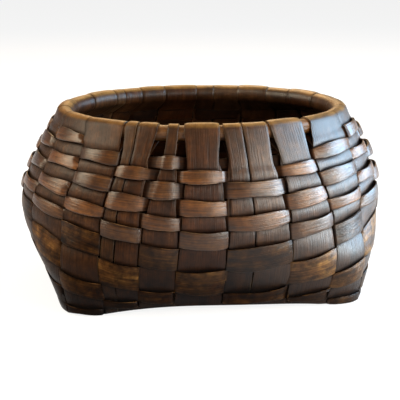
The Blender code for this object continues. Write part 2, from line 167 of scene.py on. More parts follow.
@dataclass
class BasketForm:
    """The middle surface that all splints lie on, a rounded box that ends in an oval rim."""

    base_length: float = 0.247
    base_depth: float = 0.188
    belly_length: float = 0.300
    belly_depth: float = 0.233
    belly_height: float = 0.072
    rim_length: float = 0.231
    rim_depth: float = 0.193
    rim_height: float = 0.1445
    rim_shift: float = 0.002
    base_lean: float = math.radians(8)
    rim_lean: float = math.radians(22)
    base_squareness: float = 9.5
    belly_squareness: float = 2.2
    rim_squareness: float = 2.05
    front_arch: float = 0.0042
    side_arch: float = 0.004
    sag: float = 0.0018
    sag_middle: float = 0.035
    sag_reach: float = 0.050
    corner_turns: tuple[float, float] = (-0.108, 0.196)
    arch_fade: float = 0.30
    foot: float = 0.00115
    wrap_radius: float = 0.00685
    profile_steps: int = 241
    rise_steps: int = 481
    turn_steps: int = 1440

    def __post_init__(self) -> None:
        """Work out the surface once, on a fine grid of turns and rises."""
        self.wall_height = (self.rim_height + self.wrap_radius * math.sin(self.rim_lean)
                            - self.foot)
        self.reach = self.wrap_radius * math.cos(self.rim_lean)
        self.belly_rise = self.belly_height - self.foot
        heights = np.linspace(0.0, self.wall_height, self.profile_steps)
        depths = self._half_width(heights, self.base_depth, self.belly_depth, self.rim_depth)
        steps = np.hypot(np.diff(heights), np.diff(depths))
        lengths = np.concatenate([[0.0], np.cumsum(steps)])
        self.wall_length = float(lengths[-1])
        rises = np.linspace(0.0, 1.0, self.rise_steps)
        levels = np.interp(rises * self.wall_length, lengths, heights)
        self.places = np.zeros((self.rise_steps, self.turn_steps, 3))
        self.girths = np.zeros(self.rise_steps)
        for index, height in enumerate(levels):
            self.girths[index] = self._lay_outline(index, height)
        self._arch_base(rises)
        along = np.roll(self.places, -1, axis=1) - np.roll(self.places, 1, axis=1)
        upwards = np.gradient(self.places, axis=0)
        self.normals = unit(np.cross(along, upwards))
        self.level_normals = unit(np.cross(along, UP))

    def _half_width(self, height: np.ndarray, base: float, belly: float,
                    rim: float) -> np.ndarray:
        """Half of the length or depth at heights above the base layer.

        Args:
            height: Heights above the base layer.
            base: Width at the base.
            belly: Width at the belly.
            rim: Width between the middles of the rod.

        Returns:
            Half widths at the heights.
        """
        low = np.clip(height / self.belly_rise, 0.0, 1.0)
        span = self.wall_height - self.belly_rise
        high = np.clip((height - self.belly_rise) / span, 0.0, 1.0)
        lower = self._bend(base / 2, belly / 2, math.tan(self.base_lean) * self.belly_rise,
                           0.0, low)
        upper = self._bend(belly / 2, rim / 2 + self.reach, 0.0,
                           -math.tan(self.rim_lean) * span, high)
        return np.where(height < self.belly_rise, lower, upper)

    @staticmethod
    def _bend(start: float, end: float, slope_at_start: float, slope_at_end: float,
              share: np.ndarray) -> np.ndarray:
        """Cubic curve between two values with a slope at each end."""
        square, cube = share ** 2, share ** 3
        return (start * (2 * cube - 3 * square + 1) + end * (3 * square - 2 * cube)
                + slope_at_start * (cube - 2 * square + share)
                + slope_at_end * (cube - square))

    def _squareness(self, height: float) -> float:
        """How square the plan is at a height: 2 is an oval.

        Args:
            height: Height above the base layer.

        Returns:
            Power of the curve of the plan.
        """
        if height < self.belly_rise:
            share = (1 - height / self.belly_rise) ** 2
            return self.belly_squareness + (self.base_squareness - self.belly_squareness) * share
        share = (height - self.belly_rise) / (self.wall_height - self.belly_rise)
        return self.belly_squareness + (self.rim_squareness - self.belly_squareness) * share

    def _lay_outline(self, index: int, height: float) -> float:
        """Fill one row of the grid with evenly spaced points of the plan.

        Args:
            index: Row of the grid.
            height: Height of that row above the base layer.

        Returns:
            The length once round the plan.
        """
        angles = np.linspace(-math.pi / 2, 3 * math.pi / 2, self.turn_steps + 1)
        level = np.array([height])
        a = self._half_width(level, self.base_length, self.belly_length, self.rim_length)[0]
        b = self._half_width(level, self.base_depth, self.belly_depth, self.rim_depth)[0]
        power = self._squareness(height)
        cosine, sine = np.cos(angles), np.sin(angles)
        radius = (np.abs(cosine / a) ** power + np.abs(sine / b) ** power) ** (-1 / power)
        x = radius * cosine + self.rim_shift * smooth_step(level, self.belly_rise,
                                                           self.wall_height)
        y = radius * sine
        lengths = np.concatenate([[0.0], np.cumsum(np.hypot(np.diff(x), np.diff(y)))])
        wanted = np.arange(self.turn_steps) / self.turn_steps * lengths[-1]
        self.places[index, :, 0] = np.interp(wanted, lengths, x)
        self.places[index, :, 1] = np.interp(wanted, lengths, y)
        self.places[index, :, 2] = self.foot + height
        return float(lengths[-1])

    def _arch_base(self, rises: np.ndarray) -> None:
        """Lift the base between its four corners, and the foot of the wall with it.

        Args:
            rises: Rise of each row of the grid.
        """
        self.arch_reach = [abs(float(self.places[0, self._column(turn), axis]))
                           for axis, turn in enumerate(self.corner_turns)]
        fade = np.clip(1 - rises / self.arch_fade, 0.0, 1.0) ** 2
        lift = self.arch(self.places[0, :, 0], self.places[0, :, 1])
        self.places[:, :, 2] += fade[:, None] * lift[None, :]

    def _column(self, turn: float) -> int:
        """Nearest column of the grid to a turn."""
        return round((turn % 1.0) * self.turn_steps) % self.turn_steps

    def arch(self, x: np.ndarray, y: np.ndarray) -> np.ndarray:
        """Height of the base above its level at the corners.

        Args:
            x: Places along the length.
            y: Places along the depth.

        Returns:
            The heights there.
        """
        shares = [np.clip(np.abs(value) / reach, 0.0, 1.0)
                  for value, reach in zip((x, y), self.arch_reach)]
        sag = self.sag * np.exp(-((x - self.sag_middle) / self.sag_reach) ** 2)
        return np.maximum(self.front_arch * (1 - shares[0] ** 3)
                          + self.side_arch * (1 - shares[1] ** 3) - sag, 0.0)

    def _sample(self, table: np.ndarray, turn: np.ndarray, rise: np.ndarray) -> np.ndarray:
        """Read a table of the grid between its points.

        Args:
            table: Values at every rise and turn of the grid.
            turn: Turns to read at.
            rise: Rises to read at.

        Returns:
            The values there.
        """
        turn, rise = np.broadcast_arrays(turn, rise)
        column = (turn % 1.0) * self.turn_steps
        row = np.clip(rise, 0.0, 1.0) * (self.rise_steps - 1)
        left = np.floor(column).astype(int)
        low = np.minimum(np.floor(row).astype(int), self.rise_steps - 2)
        part, step = (column - left)[..., None], (row - low)[..., None]
        left = left % self.turn_steps
        right = (left + 1) % self.turn_steps
        lower = table[low, left] * (1 - part) + table[low, right] * part
        upper = table[low + 1, left] * (1 - part) + table[low + 1, right] * part
        return lower * (1 - step) + upper * step

    def point(self, turn: np.ndarray, rise: np.ndarray, level: np.ndarray | float = 0.0
              ) -> tuple[np.ndarray, np.ndarray]:
        """Points at a level over the surface, with the outward directions there.

        Args:
            turn: Turns of the points.
            rise: Rises of the points.
            level: Levels of the points.

        Returns:
            The points and the directions.
        """
        normal = unit(self._sample(self.normals, turn, rise))
        offset = np.asarray(level)[..., None] * normal
        return self._sample(self.places, turn, rise) + offset, normal

    def rod_middle(self, turn: np.ndarray) -> tuple[np.ndarray, np.ndarray]:
        """Middle of the rim rod at turns, and the level outward direction there.

        Args:
            turn: The turns.

        Returns:
            The points and the directions.
        """
        rise = np.ones_like(turn)
        outward = unit(self._sample(self.level_normals, turn, rise))
        reach = math.cos(self.rim_lean) * outward + math.sin(self.rim_lean) * UP
        return self._sample(self.places, turn, rise) - self.wrap_radius * reach, outward

    def girth(self, rise: np.ndarray) -> np.ndarray:
        """Length once round the wall at rises."""
        return np.interp(rise, np.linspace(0.0, 1.0, self.rise_steps), self.girths)


@dataclass(frozen=True)
class Upright:
    """One splint end that stands in the wall, or one of two that share a place."""

    place: int
    first_share: float = 0.0
    last_share: float = 1.0


@dataclass
class WeavePlan:
    """Where the uprights stand and the rows run, and which passes outside at each crossing."""

    form: BasketForm
    base_turns: tuple[float, ...] = (-0.146, -0.108, -0.076, -0.042, 0.005, 0.069, 0.109, 0.146)
    middle_turns: tuple[float, ...] = (-0.153, -0.111, -0.073, -0.038, 0.006, 0.065, 0.112,
                                       0.152)
    shoulder_spans: tuple[tuple[float, float], ...] = (
        (-0.149, -0.107), (-0.102, -0.076), (-0.060, -0.048), (-0.035, -0.005),
        (0.007, 0.051), (0.062, 0.0955), (0.100, 0.162))
    rim_spans: tuple[tuple[float, float], ...] = (
        (-0.161, -0.110), (-0.107, -0.070), (-0.059, -0.047), (-0.041, -0.002),
        (0.002, 0.052), (0.055, 0.097), (0.109, 0.165))
    back_shoulder: tuple[float, ...] = (-0.151, -0.109, -0.069, -0.034, 0.010, 0.068, 0.112,
                                        0.148)
    back_rim: tuple[float, ...] = (-0.150, -0.108, -0.066, -0.032, 0.012, 0.070, 0.112, 0.146)
    level_rises: tuple[float, ...] = (0.0, 0.5, 0.84, 1.0)
    level_blend: float = 0.05
    end_count: int = 4
    gap_levels: tuple[float, ...] = (-0.0006, 0.0028, 0.0022, 0.0012)
    far_gap_levels: tuple[float, ...] = (-0.0006, 0.0004, -0.0001, -0.0001)
    pair_gap: float = 0.0010
    far_pair_gap: float = -0.0001
    pair_gap_rises: tuple[float, float] = (0.06, 0.22)
    row_lines: tuple[tuple[float, float], ...] = (
        (0.1405, 0.0040), (0.1315, 0.0045), (0.1220, 0.0050), (0.1120, 0.0070),
        (0.0990, 0.0115), (0.0860, 0.0155), (0.0740, 0.0200), (0.0600, 0.0260),
        (0.0385, 0.0340), (0.0140, 0.0370), (0.0020, 0.0310), (0.0002, 0.0125),
        (0.0006, 0.0))
    sway: float = 0.0006
    sway_waves: tuple[tuple[int, float, float], ...] = ((5, 0.37, 0.21), (17, 0.61, 0.43))
    contact: float = 0.0011
    close_contact: float = 0.0006
    bow_share: float = 0.078
    bow_least: float = 0.0008
    bow_power: float = 2.4
    overhang: float = 0.0007
    end_narrowing: float = 0.0004
    crown: float = 0.0002
    bow_in: float = 0.0005
    upright_bow: float = 0.0007
    upright_press: float = 0.0004
    left_bow: float = 0.5
    low_bow: float = 0.65
    tight_bow: float = 0.25
    flat_bow: float = 0.12
    loose_rows: int = 6
    grime_and_shade_reach: float = 0.0026
    deep_places: tuple[int, ...] = (3, 4, 5)
    deep_step: float = 0.0022
    base_level: float = 0.0006
    top_row_misses: int = 4
    tail_rows: tuple[int, int] = (4, 3)
    low_places: int = 9
    corner_places: int = 3
    pairs: dict[int, float] = field(default_factory=lambda: {1: 0.37, 4: 0.42})

    def __post_init__(self) -> None:
        """Lay out the edges of the places at each level."""
        self.front_count = len(self.base_turns) - 1
        self.place_count = 2 * (self.front_count + self.end_count)
        self.back_last = 2 * self.front_count + self.end_count - 1
        # The lines bound the filler row, the full rows, the low rows and the corner rows.
        self.last_row = len(self.row_lines) - 4
        # A low row passes an end, three places of the front and two of the back, and a corner
        # row passes one place of an end and two of the front.
        self.low_starts = {"left": self.back_last - 1, "right": self.front_count - 3}
        self.corner_starts = {"left": self.place_count - 1, "right": self.front_count - 2}
        lines = (self.base_turns, self.middle_turns, self.back_shoulder, self.back_rim)
        fronts = (None, None, self.shoulder_spans, self.rim_spans)
        levels = [self._place_turns(*level) for level in
                  zip(self.level_rises, lines, fronts, self.gap_levels, self.far_gap_levels)]
        first = 2 * np.array(levels[0]) - np.array(levels[1])
        last = 2 * np.array(levels[-1]) - np.array(levels[-2])
        self.level_table = np.array([first, *levels, last])
        rises = self.level_rises
        self.table_rises = [2 * rises[0] - rises[1], *rises, 2 * rises[-1] - rises[-2]]

    def _place_turns(self, rise: float, lines: Sequence[float],
                     front: Sequence[tuple[float, float]] | None, gap: float, far_gap: float
                     ) -> list[tuple[float, float]]:
        """Turns of the left and right edge of every place at a rise.

        Args:
            rise: The rise.
            lines: Lines between the places round the back, and at the front with no own edges.
            front: The edges of the front places, where they have their own.
            gap: Gap between uprights at the front.
            far_gap: Gap between uprights at the back and the ends.

        Returns:
            Left and right turn of each place, the ends shared evenly.
        """
        girth = float(self.form.girth(np.array(rise)))
        front = front or self._between(lines, gap / girth)
        gap = far_gap / girth
        back = [(0.5 - right, 0.5 - left) for left, right in reversed(self._between(lines, gap))]
        ends = []
        for start, end in ((front[-1][1], back[0][0]), (back[-1][1], 1 + front[0][0])):
            shared = np.linspace(start + gap / 2, end - gap / 2, self.end_count + 1)
            ends.append(self._between(shared, gap))
        return [*front, *ends[0], *back, *ends[1]]

    @staticmethod
    def _between(lines: Sequence[float], gap: float) -> list[tuple[float, float]]:
        """Edges of neighbours that share lines, with a gap at each line."""
        return [(left + gap / 2, right - gap / 2) for left, right in zip(lines, lines[1:])]

    def _edge(self, place: int, hand: int, rise: np.ndarray) -> np.ndarray:
        """Turns of one edge of a place, eased where the levels meet.

        Args:
            place: The place, counted on past the last one where a strip laps.
            hand: 0 for the left edge and 1 for the right.
            rise: Rises to read at.

        Returns:
            The turns.
        """
        laps, place = divmod(place, self.place_count)
        column = self.level_table[:, place, hand]
        read = [np.interp(rise + shift, self.table_rises, column)
                for shift in (-self.level_blend, 0.0, self.level_blend)]
        return laps + 0.25 * read[0] + 0.5 * read[1] + 0.25 * read[2]

    def upright_turns(self, upright: Upright, rise: np.ndarray
                      ) -> tuple[np.ndarray, np.ndarray]:
        """Turns of an upright's left and right edges, seen from outside.

        Args:
            upright: The upright.
            rise: Rises to read at.

        Returns:
            Turns of its left and of its right edge.
        """
        left, right = (self._edge(upright.place, hand, rise) for hand in (0, 1))
        front = upright.place % self.place_count < self.front_count
        opened = smooth_step(rise, *self.pair_gap_rises) if front else 0.0
        gap = self.far_pair_gap + (self.pair_gap - self.far_pair_gap) * opened
        inset = gap / 2 / self.form.girth(rise)
        first, last = upright.first_share, upright.last_share
        return (left + first * (right - left) + (inset if first > 0 else 0.0),
                left + last * (right - left) - (inset if last < 1 else 0.0))

    def row_rise(self, row: int, side: int, turn: np.ndarray) -> np.ndarray:
        """Rises of one edge of a row, with its small sway.

        Args:
            row: The row.
            side: 0 for the lower edge and 1 for the upper.
            turn: Turns to read at.

        Returns:
            The rises.
        """
        height, lift = self.row_lines[row + 1 - side]
        sway = sum(self.sway * np.sin(math.tau * (waves * turn + by_row * row + by_side * side))
                   for waves, by_row, by_side in self.sway_waves)
        return (height + lift * np.sin(math.tau * turn) ** 2 + sway) / self.form.wall_length

    def has_filler(self, place: int) -> bool:
        """Whether the short row under the rim passes an upright."""
        return place % self.place_count in (0, *range(self.front_count - 1, self.place_count))

    def outside(self, row: int, place: int) -> bool:
        """Whether a row lies outside the upright at a place.

        Args:
            row: The row.
            place: The place.

        Returns:
            True where it lies outside.
        """
        if row == 1 and place % self.place_count == self.top_row_misses:
            return False
        return (row + place) % 2 == 1

    def rows_at(self, place: int) -> list[int]:
        """Rows that pass a place, from the top down.

        Args:
            place: The place.

        Returns:
            Their numbers.
        """
        rows = list(range(0 if self.has_filler(place) else 1, self.last_row + 1))
        for starts, count in ((self.low_starts, self.low_places),
                              (self.corner_starts, self.corner_places)):
            if any((place - start) % self.place_count < count for start in starts.values()):
                rows.append(rows[-1] + 1)
        return rows

    def last_tail_row(self, place: int) -> int:
        """The lowest row that holds the tail of an upright."""
        return self.tail_rows[place % 2]

    def upright_level(self, place: int, turn: np.ndarray, rise: np.ndarray) -> np.ndarray:
        """Level of an upright, bowed out where a row runs behind it and pressed in by others.

        Args:
            place: Place of the upright.
            turn: Turns of the points.
            rise: Rises of the points.

        Returns:
            Their levels.
        """
        level = np.zeros(np.broadcast(turn, rise).shape)
        for row in self.rows_at(place):
            if row == 1 and place % self.place_count in self.deep_places:
                continue
            low, high = self.row_rise(row, 0, turn), self.row_rise(row, 1, turn)
            share = np.clip((rise - low) / (high - low), 0.0, 1.0)
            size = -self.upright_press if self.outside(row, place) else self.upright_bow
            level += size * np.sin(math.pi * share)
        return level

    def upright_grime_and_shade(self, place: int, turn: np.ndarray, rise: np.ndarray) -> np.ndarray:
        """How much dirt and painted shade an upright gets: most where a row covers it.

        Args:
            place: Place of the upright.
            turn: Turns of the points.
            rise: Rises of the points.

        Returns:
            Its dirt and painted shade there, from 0 to 1.
        """
        grime_and_shade = np.zeros(np.broadcast(turn, rise).shape)
        for row in self.rows_at(place):
            if self.outside(row, place):
                low, high = self.row_rise(row, 0, turn), self.row_rise(row, 1, turn)
                away = np.maximum(low - rise, rise - high) * self.form.wall_length
                grime_and_shade = np.maximum(grime_and_shade, 1 - smooth_step(away, 0.0, self.grime_and_shade_reach))
        return grime_and_shade

    def row_level(self, row: int, place: int) -> float:
        """Level of a row at an upright's edges, inside the tail where the row holds one.

        Args:
            row: The row.
            place: The place.

        Returns:
            The level.
        """
        flush = row > self.loose_rows and self.side_of(place % self.place_count) is not Side.FRONT
        contact = self.close_contact if flush else self.contact
        if self.outside(row, place):
            return contact
        held = 0 < row <= self.last_tail_row(place)
        deep = self.deep_step if row == 1 and place % self.place_count in self.deep_places else 0.0
        return -2 * contact - deep if held else -contact

    def bow_scale(self, row: int, place: int) -> float:
        """How far a row bows at a place, as a share of the usual bow.

        Args:
            row: The row.
            place: The place.

        Returns:
            The share.
        """
        side = self.side_of(place % self.place_count)
        low = row > self.loose_rows
        if row == 0:
            return self.low_bow if side is Side.RIGHT else self.tight_bow
        if side is Side.FRONT:
            return self.low_bow if low else 1.0
        if side is Side.RIGHT:
            return self.tight_bow if low else 1.0
        return self.flat_bow if low else self.left_bow

    def side_of(self, place: int) -> Side:
        """The side of the basket that a place belongs to.

        Args:
            place: The place.

        Returns:
            The side.
        """
        if place < self.front_count:
            return Side.FRONT
        if place < self.front_count + self.end_count:
            return Side.RIGHT
        return Side.BACK if place <= self.back_last else Side.LEFT

    def uprights_at(self, place: int) -> list[Upright]:
        """The one or two uprights at a place, from left to right.

        Args:
            place: The place.

        Returns:
            The uprights.
        """
        at_front = place < self.front_count
        column = place if at_front else self.back_last - place
        if column not in self.pairs or self.side_of(place) in (Side.RIGHT, Side.LEFT):
            return [Upright(place)]
        split = self.pairs[column] if at_front else 1 - self.pairs[column]
        return [Upright(place, 0.0, split), Upright(place, split, 1.0)]

    def base_spans(self, first_place: int, count: int, axis: int) -> Spans:
        """Number and extent of each splint that a crossing splint meets in the base.

        Args:
            first_place: Place of the first splint.
            count: How many places.
            axis: Plan axis across those splints.

        Returns:
            Number and two coordinates of each.
        """
        spans = []
        for number in range(count):
            for upright in self.uprights_at(first_place + number):
                turns = self.upright_turns(upright, np.zeros(1))
                ends = [float(self.form.point(turn, np.zeros(1))[0][0, axis])
                        for turn in turns]
                spans.append((number, ends[0], ends[1]))
        return spans


@dataclass
class Ribbon:
    """A splint's middle surface, as rows of points across it from one end to the other."""

    middle: np.ndarray
    outward: np.ndarray
    grime_and_shade: np.ndarray | None = None

    EDGE_STEPS = (0.0, 0.00006, 0.0002, 0.00045)

    def __post_init__(self) -> None:
        """Start with no dirt and no painted shade where none is given."""
        if self.grime_and_shade is None:
            self.grime_and_shade = np.zeros(self.middle.shape[:2])

    @classmethod
    def shares(cls, width: float, inner: int) -> np.ndarray:
        """Places across a splint from 0 to 1, close together at its rounded edges.

        Args:
            width: Its width.
            inner: How many places lie between the rounded edges.

        Returns:
            The places.
        """
        edge = np.array(cls.EDGE_STEPS) / width
        middle = np.linspace(edge[-1], 1 - edge[-1], inner + 2)[1:-1]
        return np.concatenate([edge, middle, 1 - edge[::-1]])

    @classmethod
    def join(cls, parts: Iterable["Ribbon"]) -> "Ribbon":
        """Put ribbons end to end."""
        parts = list(parts)
        return cls(np.concatenate([part.middle for part in parts]),
                   np.concatenate([part.outward for part in parts]),
                   np.concatenate([part.grime_and_shade for part in parts]))

    def reversed(self) -> "Ribbon":
        """The same ribbon run from its other end."""
        return Ribbon(self.middle[::-1], self.outward[::-1], self.grime_and_shade[::-1])

    def mirrored(self) -> "Ribbon":
        """The same ribbon with its left and right edges swapped."""
        return Ribbon(self.middle[:, ::-1], self.outward[:, ::-1], self.grime_and_shade[:, ::-1])

    def with_round_ends(self) -> "Ribbon":
        """Add rows of points close to each end, for the rounding of the end.

        Returns:
            The ribbon with those rows.
        """
        head = self._end_rows(self.middle[0], self.middle[1], self.outward[0])
        tail = self._end_rows(self.middle[-1], self.middle[-2], self.outward[-1])
        between = Ribbon(self.middle[1:-1], self.outward[1:-1], self.grime_and_shade[1:-1])
        return Ribbon.join([head, between, tail.reversed()])

    def _end_rows(self, end: np.ndarray, following: np.ndarray, outward: np.ndarray
                  ) -> "Ribbon":
        """Rows at the edge steps from an end towards the next row.

        Args:
            end: Points of the end row.
            following: Points of the row next to it.
            outward: Outward directions at the end.

        Returns:
            The rows, from the end inwards.
        """
        step = unit((following - end).mean(axis=0))
        rows = np.stack([end + step * distance for distance in self.EDGE_STEPS])
        return Ribbon(rows, np.repeat(outward[None], len(rows), axis=0))


@dataclass
class SplintTree:
    """Geometry Nodes tree that turns a ribbon into a solid hand-split splint."""

    thickness: float = 0.0010
    edge_round: float = 0.00045
    waver: float = 0.00035
    waver_length: float = 0.011

    MERGE_DISTANCE = 1e-6
    SPOT_SUMS = (("sign", "SIGN", "side", 0.0), ("hand", "MULTIPLY", "sign", 5.0),
                 ("spot", "DIVIDE", "along", "Waver Length"))
    # Each edge wanders by itself, and the edges are rounded over a quarter of a circle.
    SHAPE_SUMS = (("sway", "SUBTRACT", "noise", 0.5), ("sway", "MULTIPLY", "sway", "side"),
                  ("sway", "MULTIPLY", "sway", "Waver"), ("sway", "MULTIPLY", "sway", 2.0),
                  ("inset", "DIVIDE", "edge_distance", "Edge Round", True),
                  ("rest", "SUBTRACT", 1.0, "inset"), ("fall", "POWER", "rest", 2.0),
                  ("height", "SUBTRACT", 1.0, "fall", True), ("height", "SQRT", "height", 0.0),
                  ("half", "MULTIPLY", "Thickness", 0.5),
                  ("height", "MULTIPLY", "height", "half"),
                  ("depth", "MULTIPLY", "height", -1.0))

    def __post_init__(self) -> None:
        """Build the tree once for all splints."""
        names = ("Thickness", "Edge Round", "Waver", "Waver Length", "Seed")
        self.tree = new_shape_tree("splint_from_ribbon", dict.fromkeys(names, "Float"))
        tree = self.tree
        given = add_node(tree, "NodeGroupInput").outputs
        known = {name: given[name] for name in names}
        for name, kind in (("side", "FLOAT"), ("along", "FLOAT"), ("edge_distance", "FLOAT"),
                           ("sideways", "FLOAT_VECTOR"), ("outward", "FLOAT_VECTOR")):
            known[name] = add_node(tree, "GeometryNodeInputNamedAttribute", {"Name": name},
                                   data_type=kind).outputs["Attribute"]
        self._work_out(known, self.SPOT_SUMS)
        spot = add_node(tree, "ShaderNodeCombineXYZ",
                        {0: known["spot"], 1: known["hand"], 2: known["Seed"]})
        known["noise"] = add_node(tree, "ShaderNodeTexNoise",
                                  {"Vector": spot, "Scale": 1.0, "Detail": 2.0})
        self._work_out(known, self.SHAPE_SUMS)
        wavy = self._moved(given["Geometry"], known["sideways"], known["sway"])
        face = self._moved(wavy, known["outward"], known["height"])
        back = self._moved(wavy, known["outward"], known["depth"])
        turned = add_node(tree, "GeometryNodeFlipFaces", {"Mesh": back})
        both = add_node(tree, "GeometryNodeJoinGeometry", {0: face})
        tree.links.new(turned.outputs[0], both.inputs[0])
        closed = add_node(tree, "GeometryNodeMergeByDistance",
                          {"Geometry": both, "Distance": self.MERGE_DISTANCE})
        end_shape_tree(tree, closed, given["Material"])

    def _work_out(self, known: dict[str, object], sums: Iterable[tuple]) -> None:
        """Add the sums of a table, each a name, an operation, two terms and perhaps a clamp.

        Args:
            known: Sockets and nodes by name, to which the results are added.
            sums: The table.
        """
        for name, operation, first, second, *clamp in sums:
            terms = [known.get(term, term) for term in (first, second)]
            known[name] = add_node(self.tree, "ShaderNodeMath", dict(enumerate(terms)),
                                   operation=operation, use_clamp=bool(clamp))

    def _moved(self, geometry: object, way: object, distance: object) -> bpy.types.Node:
        """Geometry moved some distance along a direction of its own at each point."""
        offset = add_node(self.tree, "ShaderNodeVectorMath", {0: way, "Scale": distance},
                          operation="SCALE")
        return add_node(self.tree, "GeometryNodeSetPosition",
                        {"Geometry": geometry, "Offset": offset})

    def values(self, seed: float, material: bpy.types.Material) -> dict[str, object]:
        """Inputs for one splint."""
        return {"Thickness": self.thickness, "Edge Round": self.edge_round,
                "Waver": self.waver, "Waver Length": self.waver_length, "Seed": seed,
                "Material": material}


def run_tree(item: bpy.types.Object, tree: bpy.types.NodeTree, values: dict[str, object]
             ) -> None:
    """Run a Geometry Nodes tree on an object and keep the result as its plain mesh.

    Args:
        item: Object that holds the starting mesh.
        tree: The tree to run.
        values: The tree's inputs by name.
    """
    modifier = item.modifiers.new("shape", "NODES")
    modifier.node_group = tree
    for socket in tree.interface.items_tree:
        if socket.in_out == "INPUT" and socket.name in values:
            modifier[socket.identifier] = values[socket.name]
    bpy.context.view_layer.update()
    evaluated = item.evaluated_get(bpy.context.evaluated_depsgraph_get())
    result = bpy.data.meshes.new_from_object(evaluated)
    item.modifiers.remove(modifier)
    start = item.data
    item.data = result
    bpy.data.meshes.remove(start)
    result.name = item.name


@dataclass
class SplintMaker:
    """Makes each splint's object from its ribbon."""

    tree: SplintTree
    count: int = 0
    grain_shift: float = 1.37

    def make(self, name: str, ribbon: Ribbon, tint: str, material: bpy.types.Material
             ) -> bpy.types.Object:
        """Make one solid splint.

        Args:
            name: Name of the piece.
            ribbon: Its middle surface.
            tint: Its own tone as hex, which its finish is multiplied by.
            material: Its finish.

        Returns:
            The finished object.
        """
        self.count += 1
        ribbon = ribbon.with_round_ends()
        middle, outward = ribbon.middle, ribbon.outward
        rows, columns = middle.shape[:2]
        numbers = np.arange(rows * columns).reshape(rows, columns)
        corners = np.stack([numbers[:-1, :-1], numbers[:-1, 1:], numbers[1:, 1:],
                            numbers[1:, :-1]], axis=-1).reshape(-1, 4)
        across = middle[:-1, 1:] - middle[:-1, :-1]
        forward = middle[1:, :-1] - middle[:-1, :-1]
        facing = (np.cross(across, forward) * outward[:-1, :-1]).sum()
        if facing < 0:
            corners = corners[:, ::-1]
        mesh = bpy.data.meshes.new(name)
        mesh.from_pydata(middle.reshape(-1, 3), [], corners)
        steps = np.linalg.norm(np.diff(middle.mean(axis=1), axis=0), axis=1)
        along = np.concatenate([[0.0], np.cumsum(steps)])
        widths = np.linalg.norm(np.diff(middle, axis=1), axis=2)
        places = np.concatenate([np.zeros((rows, 1)), np.cumsum(widths, axis=1)], axis=1)
        full = places[:, -1:]
        to_edge = np.minimum(places, full - places)
        to_end = np.minimum(along, along[-1] - along)[:, None]
        distance = np.minimum(to_edge, to_end)
        sideways = unit(middle[:, -1] - middle[:, 0])[:, None, :].repeat(columns, axis=1)
        self._store(mesh, "edge_distance", "FLOAT", distance)
        self._store(mesh, "side", "FLOAT", 2 * places / full - 1)
        self._store(mesh, "along", "FLOAT", np.repeat(along[:, None], columns, axis=1))
        self._store(mesh, "sideways", "FLOAT_VECTOR", sideways)
        self._store(mesh, "outward", "FLOAT_VECTOR", outward)
        self._store(mesh, "grime_and_shade", "FLOAT", ribbon.grime_and_shade)
        colour = np.broadcast_to(linear_colour(tint), (rows, columns, 4))
        self._store(mesh, "tint", "FLOAT_COLOR", colour)
        self._lay_uv(mesh, corners, along + self.grain_shift * self.count, places - full / 2)
        item = add_object(name, mesh)
        run_tree(item, self.tree.tree, self.tree.values(float(self.count), material))
        return item

    @staticmethod
    def _store(mesh: bpy.types.Mesh, name: str, kind: str, values: np.ndarray) -> None:
        """Keep a value at each point of a mesh.

        Args:
            mesh: The mesh.
            name: Name of the value.
            kind: Its type.
            values: One value for each point.
        """
        key = {"FLOAT": "value", "FLOAT_VECTOR": "vector", "FLOAT_COLOR": "color"}[kind]
        attribute = mesh.attributes.new(name, kind, "POINT")
        attribute.data.foreach_set(key, np.ascontiguousarray(values, dtype=np.float32).ravel())

    @staticmethod
    def _lay_uv(mesh: bpy.types.Mesh, corners: np.ndarray, along: np.ndarray,
                places: np.ndarray) -> None:
        """Lay out a map in metres: along the splint, and across it from its middle.

        Args:
            mesh: The mesh.
            corners: Numbers of the points of each face.
            along: Place of each row along the splint.
            places: Place of each point across it.
        """
        columns = places.shape[1]
        flat = np.stack([np.repeat(along, columns), places.ravel()], axis=-1)
        layer = mesh.uv_layers.new(name="UVMap")
        layer.data.foreach_set("uv", flat[corners.ravel()].astype(np.float32).ravel())


